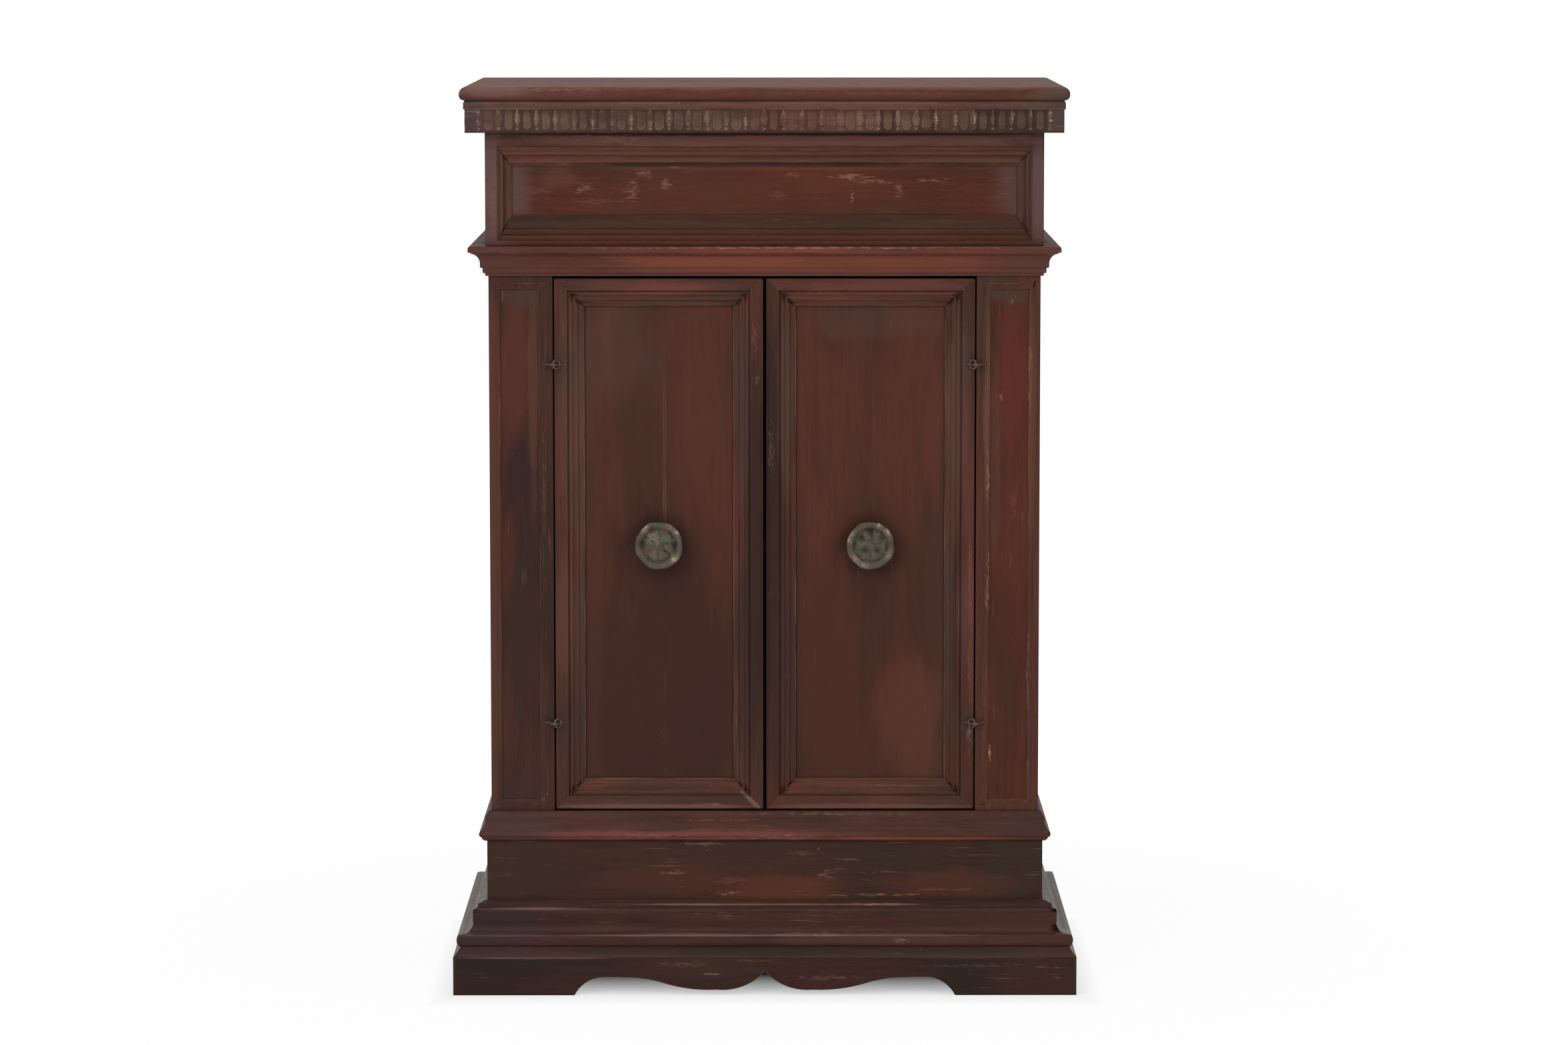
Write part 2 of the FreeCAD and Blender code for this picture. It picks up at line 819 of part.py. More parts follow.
def knob():
    """The rosette knob with its axis on +Z and the panel's face at zero."""
    tail_end = -(panel_thickness + nut_thickness + nut_stand_in)
    steps = [
        (0.0, tail_end),
        (knob_tail_radius, tail_end),
        (knob_tail_radius, 0.0),
        (knob_collar_radius, 0.0),
        (knob_collar_radius, knob_collar_height),
        (knob_neck_radius, knob_collar_height + knob_neck_radius / 2),
    ]
    steps += sized(knob_back_shares, knob_radius, knob_reach)
    steps += sized(knob_front_shares, knob_radius, knob_reach)
    lobes = lobed_prism(knob_radius, knob_lobe_depth, knob_lobes, tail_end - overrun, knob_reach + overrun)
    rosette = only_solid(turned_solid(steps).common(lobes))
    flower_foot = knob_reach * knob_front_shares[-1][1] - flower_sink
    flower_edge = flower_foot + flower_sink + flower_edge_height
    steps = [(0.0, flower_foot), (flower_radius, flower_foot)]
    steps += [(r, flower_edge + h) for r, h in sized(flower_shares, flower_radius, knob_reach - flower_edge)]
    flower = turned_solid(steps)
    petals = lobed_prism(
        flower_radius, flower_petal_depth, flower_petals, flower_foot - overrun, knob_reach + overrun
    )
    return only_solid(rosette.fuse(flower.common(petals)))


def placed_on_door(shape, x):
    """Turn a piece from +Z to -Y and set it on the panel's face."""
    shape = shape.copy()
    shape.rotate(V(0, 0, 0), V(1, 0, 0), 90)
    shape.translate(V(x, y_panel, knob_z))
    return shape


nut_half = nut_side / 2
nut_low = -(panel_thickness + nut_thickness)
nut = box(-nut_half, nut_half, -nut_half, nut_half, nut_low, -panel_thickness)
nut_bore = Part.makeCylinder(knob_bore_radius, nut_thickness + 2 * overrun, V(0, 0, nut_low - overrun))
nut = only_solid(nut.cut(nut_bore))
for name, x in (("left_knob", -knob_x), ("right_knob", knob_x)):
    save(name, placed_on_door(knob(), x))
    save(name + "_nut", placed_on_door(nut, x))
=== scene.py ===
import json
import math
import random

import bmesh
import bpy
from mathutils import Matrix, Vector, noise
from mathutils.bvhtree import BVHTree

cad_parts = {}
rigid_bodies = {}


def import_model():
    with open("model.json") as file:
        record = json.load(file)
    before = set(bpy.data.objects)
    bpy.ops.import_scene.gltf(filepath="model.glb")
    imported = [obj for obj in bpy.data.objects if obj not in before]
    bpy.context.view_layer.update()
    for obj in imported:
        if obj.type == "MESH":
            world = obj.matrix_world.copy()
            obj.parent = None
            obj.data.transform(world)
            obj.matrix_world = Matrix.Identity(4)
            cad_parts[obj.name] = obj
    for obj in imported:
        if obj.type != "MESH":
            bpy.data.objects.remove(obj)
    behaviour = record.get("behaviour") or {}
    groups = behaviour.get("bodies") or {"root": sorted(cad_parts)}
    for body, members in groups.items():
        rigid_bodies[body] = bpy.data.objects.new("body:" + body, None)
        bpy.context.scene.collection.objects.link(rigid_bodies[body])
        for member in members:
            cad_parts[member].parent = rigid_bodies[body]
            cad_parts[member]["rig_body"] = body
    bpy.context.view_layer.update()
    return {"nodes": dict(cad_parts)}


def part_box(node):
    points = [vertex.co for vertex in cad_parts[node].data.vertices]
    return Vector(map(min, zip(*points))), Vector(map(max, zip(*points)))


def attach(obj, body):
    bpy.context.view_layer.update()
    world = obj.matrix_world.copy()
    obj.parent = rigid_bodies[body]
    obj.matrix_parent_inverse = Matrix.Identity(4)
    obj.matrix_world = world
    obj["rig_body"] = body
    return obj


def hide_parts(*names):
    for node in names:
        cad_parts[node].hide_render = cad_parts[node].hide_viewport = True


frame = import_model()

bpy.ops.object.select_all(action="DESELECT")


# Apron boards: thick walnut boards on edge, mitred at the front corners and cut to a scalloped
# lower edge, so that their ends are the cupboard's feet. They are the darkest wood of the piece, partly from
# the floor's dirt and partly as painted shade, and a thin light line along their top arris is a painted highlight.

mm = 0.001


def linear(colour):
    """A written sRGB colour as the linear one that a shader takes."""
    channels = [int(colour[i:i + 2], 16) / 255 for i in (1, 3, 5)]
    return [c / 12.92 if c <= 0.04045 else ((c + 0.055) / 1.055) ** 2.4 for c in channels] + [1.0]


def new_finish(name):
    """A finish whose nodes are still to be added."""
    finish = bpy.data.materials.new(name)
    finish.use_nodes = True
    finish.node_tree.nodes.clear()
    return finish


def add(finish, kind, inputs={}, out=None, **settings):
    """Add a node to a finish with its settings and links, and give its output.

    Inputs go by name, or as a list in the sockets' order, which for a range is the value, from low, from
    high, to low, to high. Every Mix here mixes colours.
    """
    made = finish.node_tree.nodes.new("ShaderNode" + kind)
    if kind == "Mix":
        made.data_type = "RGBA"
    for name, value in settings.items():
        setattr(made, name, value)
    for key, value in inputs.items() if isinstance(inputs, dict) else enumerate(inputs):
        named = (s for s in made.inputs if s.enabled and s.name == key)
        socket = made.inputs[key] if isinstance(key, int) else next(named)
        if isinstance(value, bpy.types.NodeSocket):
            finish.node_tree.links.new(value, socket)
        else:
            socket.default_value = value
    return made.outputs[out] if out else next((s for s in made.outputs if s.enabled), None)


def on_face(y, deep, marks):
    """Marks on a front face at y: across, up, reach across, reach up, all in mm, colour, how strong."""
    return [((x, y, z), (wide, deep, high), colour, strong) for x, z, wide, high, colour, strong in marks]


def distance(finish, place, centre, reach):
    """How far each point is from a mark's centre, counted in the mark's reach. Both are in mm."""
    off = add(finish, "VectorMath", [place, tuple(c * mm for c in centre)], operation="SUBTRACT")
    off = add(finish, "VectorMath", [off, tuple(r * mm for r in reach)], operation="DIVIDE")
    return add(finish, "VectorMath", [off], out="Value", operation="LENGTH")


def stained_wood(name, grain, red, brown, wear_and_highlight="#86604f", shade_soil_colour="#1c120d", gloss=0.46, figure=0.65, hurt=0.3,
                 upward_dust_and_sheen=0.0, stains=(), rubs=()):
    """Planed walnut, stained red-brown and waxed for years: dark and patchy, with a low, uneven shine.

    The fibres follow the grain's axis. figure is how much they show, hurt how much the scratches do, and
    ledge how much pale grey lies on upward faces, partly dust and partly painted sheen. Stains are soft
    patches, some of them painted shadow and highlight lines, and rubs are broken flecks, some of them
    painted highlights: centre and reach in mm, colour, how strong.
    """
    wood = new_finish(name)
    place = add(wood, "TexCoord", out="Object")
    board, arris, nook = (
        add(wood, "Attribute", out="Fac", attribute_name=kept) for kept in ("board", "wear_and_highlight", "shade_and_soil"))

    # Every board comes from another place in the log.
    log = add(wood, "VectorMath", {0: (3.7, 2.9, 5.3), "Scale": board}, operation="SCALE")
    log = add(wood, "VectorMath", [place, log], operation="ADD")

    # Fibre bands are 4 mm wide and some 70 mm long. Pores are 1 mm wide, drawn coarser than walnut's
    # real 0.3 mm so that they show. Blotches of the stain are 60 to 150 mm across, clouds of wax and dirt
    # some 25 mm, and what is ragged, handled or knocked 15 to 40 mm.
    along = {"X": (0.055, 1, 1), "Y": (1, 0.055, 1), "Z": (1, 1, 0.055)}[grain]
    fibres = add(wood, "Mapping", {"Vector": log, "Scale": along})
    loose = add(wood, "Mapping", {"Vector": log, "Scale": tuple(s ** 0.45 for s in along)})
    bands, pores, blotches, clouds, ragged, handled, here, waves = (
        add(wood, "TexNoise", {"Vector": vector, "Scale": scale, "Detail": detail, "Roughness": rough})
        for vector, scale, detail, rough in (
            (fibres, 240.0, 4.0, 0.6), (fibres, 900.0, 2.0, 0.5), (loose, 15.0, 3.0, 0.5), (place, 38.0, 4.0, 0.65),
            (loose, 48.0, 5.0, 0.7), (loose, 42.0, 4.0, 0.7), (log, 24.0, 3.0, 0.5), (loose, 60.0, 2.0, 0.5)))

    patchy = add(wood, "MapRange", [blotches, 0.4, 0.62], interpolation_type="SMOOTHSTEP")
    colour = add(wood, "Mix", {"Factor": patchy, "A": linear(red), "B": linear(brown)})
    band = add(wood, "MapRange", [bands, 0.35, 0.75, 0.0, figure])
    pore = add(wood, "MapRange", [pores, 0.55, 0.8, 0.0, 0.8 * figure])
    for share, tint in ((band, "#b8a09a"), (pore, "#8a7a72")):
        colour = add(wood, "Mix", {"Factor": share, "A": colour, "B": linear(tint)}, blend_type="MULTIPLY")

    for centre, reach, tint, strength in stains:
        far = distance(wood, place, centre, reach)
        far = add(wood, "Math", [ragged, 1.6, far], operation="MULTIPLY_ADD")
        share = add(wood, "MapRange", [far, 1.3, 2.1, strength, 0.0], interpolation_type="SMOOTHSTEP")
        colour = add(wood, "Mix", {"Factor": share, "A": colour, "B": linear(tint)})

    # Painted shade darkens corners and hollows unevenly, where the rays found little light, together with grimy old
    # wax.
    # Upward faces turn pale grey, partly dust and partly painted sheen.
    shade_soil_mask = add(wood, "MapRange", [nook, 0.1, 0.62], interpolation_type="SMOOTHSTEP")
    uneven = add(wood, "Math", [clouds, 0.28], operation="ADD")
    shade_soil_mask = add(wood, "Math", [shade_soil_mask, uneven], operation="MULTIPLY", use_clamp=True)
    colour = add(wood, "Mix", {"Factor": shade_soil_mask, "A": colour, "B": linear(shade_soil_colour)})
    if upward_dust_and_sheen:
        up = add(wood, "SeparateXYZ", [add(wood, "NewGeometry", out="Normal")], out="Z")
        up = add(wood, "MapRange", [up, 0.35, 0.8, 0.0, upward_dust_and_sheen])
        colour = add(wood, "Mix", {"Factor": up, "A": colour, "B": linear("#958d88")})

    # Arrises are rubbed through to paler wood where hands and cloths reach, in patches. On the carved band
    # some of the pale on the drops is painted highlight.
    handled = add(wood, "MapRange", [handled, 0.42, 0.6, 0.0, 0.65])
    rubbing_and_highlight = add(wood, "Math", [arris, handled], operation="MULTIPLY")

    # Hair scratches run along the grain, and there are small knocks.
    hairs = add(wood, "Mapping", {"Vector": log, "Scale": tuple(s ** 1.15 for s in along)})
    hairs = add(wood, "TexNoise", {"Vector": hairs, "Scale": 620.0, "Detail": 1.0})
    hairs = add(wood, "MapRange", [hairs, 0.68, 0.76, 0.0, hurt])
    here = add(wood, "MapRange", [here, 0.5, 0.62])
    hairs = add(wood, "Math", [hairs, here], operation="MULTIPLY")
    knocks = add(wood, "TexVoronoi", {"Vector": log, "Scale": 46.0})
    knocks = add(wood, "MapRange", [knocks, 0.08, 0.04, 0.0, hurt])
    there = add(wood, "MapRange", [clouds, 0.55, 0.62])
    knocks = add(wood, "Math", [knocks, there], operation="MULTIPLY")
    marks = add(wood, "Math", [hairs, knocks], operation="MAXIMUM")
    marks = add(wood, "Math", [marks, rubbing_and_highlight], operation="MAXIMUM")
    colour = add(wood, "Mix", {"Factor": marks, "A": colour, "B": linear(wear_and_highlight)})

    if rubs:
        broken = add(wood, "Mapping", {"Vector": place, "Scale": tuple(s ** 0.5 for s in along)})
        broken = add(wood, "TexNoise", {"Vector": broken, "Scale": 480.0, "Detail": 3.0, "Roughness": 0.65})
    for centre, reach, tint, strength in rubs:
        far = distance(wood, place, centre, reach)
        fleck = add(wood, "Math", [far, -0.2, broken], operation="MULTIPLY_ADD")
        share = add(wood, "MapRange", [fleck, 0.36, 0.5, 0.0, strength])
        colour = add(wood, "Mix", {"Factor": share, "A": colour, "B": linear(tint)})

    # Wax shines unevenly and is dull where the painted shade and grimy wax lie.
    # The scraper left shallow waves that catch the light.
    rough = add(wood, "MapRange", [clouds, 0.3, 0.7, gloss - 0.07, gloss + 0.07])
    rough = add(wood, "Math", [shade_soil_mask, 0.3, rough], operation="MULTIPLY_ADD", use_clamp=True)
    fine = add(wood, "Bump", {"Strength": 0.35, "Distance": 0.3 * mm, "Height": bands})
    broad = add(wood, "Bump", {"Strength": 0.5, "Distance": 0.9 * mm, "Height": waves, "Normal": fine})
    surface = add(wood, "BsdfPrincipled", {
        "Base Color": colour, "Roughness": rough, "Normal": broad, "Specular IOR Level": 0.16,
    })
    add(wood, "OutputMaterial", {"Surface": surface})
    return wood


# All the pieces' faces in one tree for rays, with the piece that each face is of, and the rays' directions,
# spread over half a ball in a spiral.
corners, faces, owners = [], [], []
for node, solid in frame["nodes"].items():
    first = len(corners)
    corners += [v.co.copy() for v in solid.data.vertices]
    faces += [[first + i for i in face.vertices] for face in solid.data.polygons]
    owners += [node] * len(solid.data.polygons)
cupboard = BVHTree.FromPolygons(corners, faces)
rays, spiral_turn = 12, 2.39996
sky = []
for i in range(rays):
    flat = math.sqrt((i + 0.5) / rays)
    turn = i * spiral_turn
    sky.append(Vector((flat * math.cos(turn), flat * math.sin(turn), math.sqrt(1 - flat * flat))))


def weather(piece, node):
    """Mark wear on arrises, painted shade and grimy places where little light gets in, and grimy joints."""
    reach, arris_width, joint_gap = 14 * mm, 2.2 * mm, 0.5 * mm
    mesh = bmesh.new()
    mesh.from_mesh(piece.data)
    mesh.normal_update()
    wear_and_highlight, shade_and_soil = [], []
    for vert in mesh.verts:
        turned = max((e.calc_face_angle_signed(0) for e in vert.link_edges), default=0)
        wide = max((f.calc_area() / max(e.calc_length() for e in f.edges) for f in vert.link_faces), default=0)
        fine = wide < arris_width
        bare = min(1, max(0, (math.degrees(turned) - 30) / 14)) if fine else 0
        # The rays measure how little light reaches the point: painted shade, which the finish mixes with grimy wax.
        hidden = 0
        turn = vert.normal.to_track_quat("Z", "X")
        start = vert.co + vert.normal * (0.4 * mm)
        for ray in sky:
            direction = turn @ ray
            hit, normal, face, far = cupboard.ray_cast(start, direction, reach)
            if hit and normal.dot(direction) < 0:
                hidden += (1 - far / reach) / len(sky)
        # Dirt sits along a joint, where its arrises are out of a cloth's reach.
        if any(owners[face] != node for _, _, face, _ in cupboard.find_nearest_range(vert.co, joint_gap)):
            hidden = max(hidden, 0.36 if fine else 0.14)
            bare = bare * 0.2
        wear_and_highlight.append(bare)
        shade_and_soil.append(min(1, hidden))
    mesh.free()
    mark(piece, node, wear_and_highlight, shade_and_soil)


def mark(piece, node, wear_and_highlight, shade_and_soil):
    """Store wear and painted highlights, painted shade and grimy places on the piece's points, with the board's log
    place.
    """
    cut = random.Random(node).random()
    for name, values in (("wear_and_highlight", wear_and_highlight), ("shade_and_soil", shade_and_soil), ("board", [cut] * len(wear_and_highlight))):
        attribute = piece.data.attributes.new(name, "FLOAT", "POINT")
        attribute.data.foreach_set("value", values)


def eased(node, wood, ease=0.7, cuts=()):
    """A piece of the frame with its arrises eased by so many mm, as a scraper and wear leave them.

    It is also cut into fields no wider than the grid and finer near its ends, so that its points can hold
    wear, painted shade and grimy places. cuts are further ones, as axis and place in mm.
    """
    sharp, grid, near_ends, short = math.radians(32), 32 * mm, (3, 8, 16), 60 * mm
    source = frame["nodes"][node]
    piece = bpy.data.objects.new(node + "_eased", source.data.copy())
    bpy.context.scene.collection.objects.link(piece)
    bpy.context.view_layer.objects.active = piece
    piece.select_set(True)
    bpy.ops.object.mode_set(mode="EDIT")
    bpy.ops.mesh.select_mode(type="EDGE")
    bpy.ops.mesh.select_all(action="SELECT")
    bpy.ops.mesh.remove_doubles(threshold=0.01 * mm)
    bpy.ops.mesh.dissolve_limited(angle_limit=math.radians(0.5))
    bpy.ops.mesh.select_all(action="DESELECT")
    mesh = bmesh.from_edit_mesh(piece.data)
    mesh.normal_update()
    # An arris is eased where the faces beside it are wide enough.
    for edge in mesh.edges:
        if len(edge.link_faces) == 2 and edge.calc_face_angle_signed(0) > sharp:
            line = (edge.verts[1].co - edge.verts[0].co).normalized()
            widths = []
            for face in edge.link_faces:
                off = [v.co - edge.verts[0].co for v in face.verts]
                widths.append(max((o - line * o.dot(line)).length for o in off))
            edge.select = min(widths) > 2.4 * ease * mm and edge.calc_length() > 3 * ease * mm
    picked = any(edge.select for edge in mesh.edges)
    bmesh.update_edit_mesh(piece.data)
    if picked:
        bpy.ops.mesh.bevel(offset=ease * mm, segments=2, profile=0.5, clamp_overlap=True)
    low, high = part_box(node)
    for axis in range(3):
        size = high[axis] - low[axis]
        places = [at * mm for on, at in cuts if on == axis]
        if size > short:
            count = math.ceil(size / grid)
            places += [low[axis] + size * i / count for i in range(1, count)]
            for near in near_ends:
                places += [low[axis] + near * mm, high[axis] - near * mm]
        for at in places:
            bpy.ops.mesh.select_all(action="SELECT")
            spot, way = [0, 0, 0], [0, 0, 0]
            spot[axis], way[axis] = at, 1
            bpy.ops.mesh.bisect(plane_co=spot, plane_no=way)
    bpy.ops.object.mode_set(mode="OBJECT")
    bpy.ops.object.shade_smooth_by_angle(angle=math.radians(50))
    even = piece.modifiers.new("even", "WEIGHTED_NORMAL")
    even.keep_sharp = True
    bpy.ops.object.modifier_apply(modifier=even.name)
    piece.data.materials.clear()
    piece.data.materials.append(wood)
    weather(piece, node)
    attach(piece, source["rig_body"])
    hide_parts(node)
    piece.select_set(False)
    return piece


def eased_run(part, across, back, ease=0.6):
    """The front and both returns of what runs round the case, in wood that runs across and back."""
    for side, wood in (("front", across), ("left", back), ("right", back)):
        eased(part + "_" + side, wood, ease)


foot_red, foot_brown = "#381f18", "#2c1d16"
# The two thin lighter lines at 42 and 43 mm, along the top arris, are painted highlights; the rest are stains.
apron_stains_and_highlights = on_face(-200, 30, [
    (-300, 16, 60, 30, "#261618", 0.6), (-60, 30, 70, 12, "#3a2a1c", 0.5), (60, 16, 60, 14, "#3a1c18", 0.5),
    (300, 18, 60, 30, "#3b2017", 0.6), (-260, 42, 80, 1.2, "#655050", 0.6), (200, 43, 110, 1, "#4d382e", 0.6),
])
apron_rubs = on_face(-200, 8, [
    (-90, 35, 40, 4, "#6b5040", 0.35), (-58, 24, 9, 4, "#86705e", 0.5), (-20, 39, 26, 2, "#6b4a3c", 0.4),
    (70, 20, 46, 4, "#76544a", 0.35), (230, 33, 70, 2, "#6a4a3a", 0.35), (324, 31, 9, 1.6, "#7a6050", 0.4),
    (322, 20, 7, 1.6, "#7a6050", 0.35),
])
apron_wood = stained_wood(
    "Apron walnut, grain across", "X", foot_red, foot_brown, hurt=0.42, upward_dust_and_sheen=0.08,
    stains=apron_stains_and_highlights, rubs=apron_rubs)
apron_return = stained_wood("Apron walnut, grain front to back", "Y", foot_red, foot_brown, upward_dust_and_sheen=0.7)
eased_run("apron", apron_wood, apron_return, 0.9)


# Corner blocks: rough softwood blocks glued behind the feet, which carry the plinth. Sawn, never
# stained, and grey with age. The board that closes the plinth at the back is the same wood.

def plain_softwood(name, grain):
    """Sawn softwood without a finish: straight rings about 5 mm apart, dull, browned by the air."""
    wood = new_finish(name)
    along = {"X": (0.05, 1, 1), "Y": (1, 0.05, 1), "Z": (1, 1, 0.05)}[grain]
    place = add(wood, "TexCoord", out="Object")
    nook = add(wood, "Attribute", out="Fac", attribute_name="shade_and_soil")
    fibres = add(wood, "Mapping", {"Vector": place, "Scale": along})
    rings = add(wood, "TexNoise", {"Vector": fibres, "Scale": 200.0, "Detail": 5.0, "Roughness": 0.6})
    stains = add(wood, "TexNoise", {"Vector": place, "Scale": 12.0, "Detail": 4.0})
    ring = add(wood, "MapRange", [rings, 0.35, 0.7])
    stain = add(wood, "MapRange", [stains, 0.4, 0.7, 0.0, 0.6])
    # Corners and hollows go dark: painted shade, together with grime.
    corner_shade_and_soil = add(wood, "MapRange", [nook, 0.05, 0.6, 0.0, 0.8])
    colour = linear("#7a5a3c")
    for share, tint in ((ring, "#5a3f29"), (stain, "#4b3524"), (corner_shade_and_soil, "#241a12")):
        colour = add(wood, "Mix", {"Factor": share, "A": colour, "B": linear(tint)})
    rough = add(wood, "MapRange", [stains, 0.0, 1.0, 0.66, 0.86])
    bump = add(wood, "Bump", {"Strength": 0.5, "Distance": 0.4 * mm, "Height": rings})
    surface = add(wood, "BsdfPrincipled", {
        "Base Color": colour, "Roughness": rough, "Normal": bump, "Specular IOR Level": 0.2,
    })
    add(wood, "OutputMaterial", {"Surface": surface})
    return wood


def finish_solid(node, finish):
    """Give a solid that stays as it is its finish."""
    frame["nodes"][node].data.materials.clear()
    frame["nodes"][node].data.materials.append(finish)


softwood = {grain: plain_softwood("Aged softwood, grain " + grain, grain) for grain in "XYZ"}
finish_solid("corner_blocks", softwood["Z"])
eased("plinth_back", softwood["X"], 0.8)


# Base moulding and plinth: a run moulding of steps, bead and hollow under plain plinth boards,
# mitred round the front corners and pinned on. Knocked along the edge where shoes and brooms hit.

# Besides stains: the thin pale lines along the step arrises at 66.5, 93 and 97 mm are painted highlights, and the
# near-black line at 49 mm is a painted shadow under the torus.
base_stains_and_painted_light = [
    ((-300, -190, 70), (60, 40, 30), "#33232a", 0.6), ((280, -190, 66), (80, 40, 26), "#4a271d", 0.5),
    ((150, -197, 60), (160, 20, 6), "#55322a", 0.5), ((0, -185, 80), (120, 20, 6), "#4a241e", 0.5),
    ((-260, -185, 93), (70, 20, 1.3), "#80665c", 0.6), ((-40, -180, 97), (120, 20, 1.2), "#7c6352", 0.65),
    ((120, -180, 97), (60, 20, 1.2), "#86604f", 0.5), ((0, -199, 49), (360, 30, 5), "#26140f", 0.75),
    ((-50, -197, 66.5), (160, 20, 1.2), "#83695d", 0.6), ((-280, -197, 66.5), (70, 20, 1.2), "#5a4545", 0.5),
    ((130, -197, 66.5), (120, 20, 1), "#74594f", 0.5),
]
base_rubs = [
    ((130, -180, 97), (50, 20, 1.6), "#9a7060", 0.5), ((235, -182, 95), (40, 20, 1.2), "#6d4a3c", 0.45),
    ((60, -197, 67), (80, 20, 1.4), "#9a8072", 0.4), ((-60, -190, 88), (40, 16, 2), "#76584c", 0.4),
    ((60, -190, 86), (60, 16, 3), "#6a4638", 0.35), ((150, -198, 60), (10, 12, 4), "#8a6a5c", 0.5),
]
base_wood = stained_wood(
    "Base moulding walnut, grain across", "X", "#46271e", "#3a241b", hurt=0.42, upward_dust_and_sheen=0.04,
    stains=base_stains_and_painted_light, rubs=base_rubs)
base_return = stained_wood("Base moulding walnut, grain front to back", "Y", "#46271e", "#3a241b", upward_dust_and_sheen=0.7)
plinth_stains = on_face(-163, 30, [
    (20, 112, 70, 16, "#5c301c", 0.6), (-90, 122, 90, 18, "#4b241c", 0.6), (-270, 140, 60, 50, "#37261b", 0.6),
    (-20, 158, 90, 12, "#37241b", 0.5), (130, 148, 60, 14, "#33231b", 0.6), (205, 118, 75, 18, "#50291d", 0.65),
    (275, 138, 40, 40, "#35251d", 0.5),
])
plinth_rubs = on_face(-163, 12, [
    (-38, 108, 16, 2.5, "#a07a58", 0.65), (-98, 131, 17, 2.5, "#8a6050", 0.5), (-40, 122, 30, 6, "#6d4236", 0.3),
    (105, 106, 30, 1.8, "#8a6250", 0.5), (145, 106, 30, 2, "#9c6232", 0.6), (70, 128, 12, 7, "#80584a", 0.45),
    (88, 146, 22, 2, "#7a5a4c", 0.45), (-70, 163, 26, 2, "#84685a", 0.5), (130, 132, 26, 2, "#7a4a34", 0.4),
    (200, 112, 40, 2, "#7a4c3c", 0.4), (230, 150, 36, 2, "#5a4438", 0.4), (40, 152, 18, 3, "#6a4a3e", 0.35),
])
plinth_wood = stained_wood(
    "Plinth walnut, grain across", "X", "#41261c", "#352219", hurt=0.42, stains=plinth_stains, rubs=plinth_rubs)
plinth_return = stained_wood("Plinth walnut, grain front to back", "Y", "#42271e", "#36241b")
eased_run("base_moulding", base_wood, base_return)
eased_run("plinth", plinth_wood, plinth_return)


# Sides, floor and rails: the carcass of the case. The sides are upright walnut boards grooved for
# the floor, the rails between the pilasters are walnut, and what shows only inside is softwood.

side_wood = stained_wood("Side walnut, grain upright", "Z", "#4f2b21", "#40281f")
rail_wood = stained_wood("Rail walnut, grain across", "X", "#482820", "#3a261e")
eased("side_left", side_wood)
eased("side_right", side_wood)
eased("floor_board", softwood["X"])
eased("lower_rail", rail_wood)
eased("upper_rail", rail_wood)
eased("top_rail", softwood["X"])
eased("door_stop", softwood["X"])


# Back: three upright softwood boards nailed to the floor board and the top rail, with the nails'
# square-cut heads driven flush. Unfinished, and browned by age.

swelling, edge_width = 0.27 * mm, 1.5 * mm
for part, sides in (("left", (1,)), ("middle", (-1, 1)), ("right", (-1,))):
    board = eased("back_board_" + part, softwood["Z"], 0.9)
    # The boards have swollen until they nearly touch, so that no light comes in between them.
    low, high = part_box("back_board_" + part)
    for vert in board.data.vertices:
        for out in sides:
            if abs(vert.co.x - (high[0] if out > 0 else low[0])) < edge_width:
                vert.co.x += out * swelling

# Forged iron is hammered, so it is uneven and grey-black with a dull oxide skin, browner where it has rusted.
iron = new_finish("Forged iron")
place = add(iron, "TexCoord", out="Object")
scale = add(iron, "TexNoise", {"Vector": place, "Scale": 420.0, "Detail": 4.0, "Roughness": 0.65})
rust = add(iron, "MapRange", [scale, 0.45, 0.65])
skin = add(iron, "Mix", {"Factor": rust, "A": linear("#6a5b50"), "B": linear("#412d22")})
bare = add(iron, "MapRange", [rust, 0.0, 1.0, 0.75, 0.2])
rough = add(iron, "MapRange", [scale, 0.0, 1.0, 0.35, 0.7])
bump = add(iron, "Bump", {"Strength": 0.5, "Distance": 0.15 * mm, "Height": scale})
surface = add(iron, "BsdfPrincipled", {"Base Color": skin, "Metallic": bare, "Roughness": rough, "Normal": bump})
add(iron, "OutputMaterial", {"Surface": surface})
finish_solid("back_nails", iron)


# Shelf: one softwood board that lies on a cleat at each side. The cleats are nailed to the sides, and
# nothing here is finished, as it shows only when the doors are open.

eased("shelf", softwood["X"], 0.9)
eased("shelf_cleats", softwood["Y"], 0.9)


# Pilasters: the front uprights of the case. Thin moulded strips are planted round each one's field,
# mitred and glued into a rebate. The right one is rubbed pale along its inner strip.

left_stains = on_face(-155, 12, [
    (-271, 580, 15, 34, "#2e1a1c", 0.85), (-277, 690, 20, 80, "#572a23", 0.6), (-268, 775, 40, 18, "#453128", 0.7),
    (-284, 480, 12, 60, "#4f241d", 0.6), (-270, 385, 18, 120, "#33221a", 0.75), (-254, 670, 6, 110, "#5b372d", 0.55),
    (-284, 300, 8, 60, "#4a251f", 0.5), (-268, 225, 34, 24, "#38251f", 0.6),
])
right_stains = on_face(-155, 12, [
    (269, 680, 19, 80, "#5a261b", 0.65), (273, 500, 18, 110, "#552718", 0.5), (272, 400, 14, 40, "#4a1f17", 0.5),
    (270, 778, 40, 16, "#453229", 0.75), (262, 340, 16, 120, "#41231a", 0.6), (254, 600, 6, 120, "#54362c", 0.5),
])
right_rubs = on_face(-155, 12, [
    (261, 664, 3, 9, "#8e5c4a", 0.6), (272, 764, 5, 8, "#84685c", 0.5), (249, 264, 2.5, 12, "#a67a60", 0.75),
    (274, 540, 6, 24, "#75382c", 0.45),
])
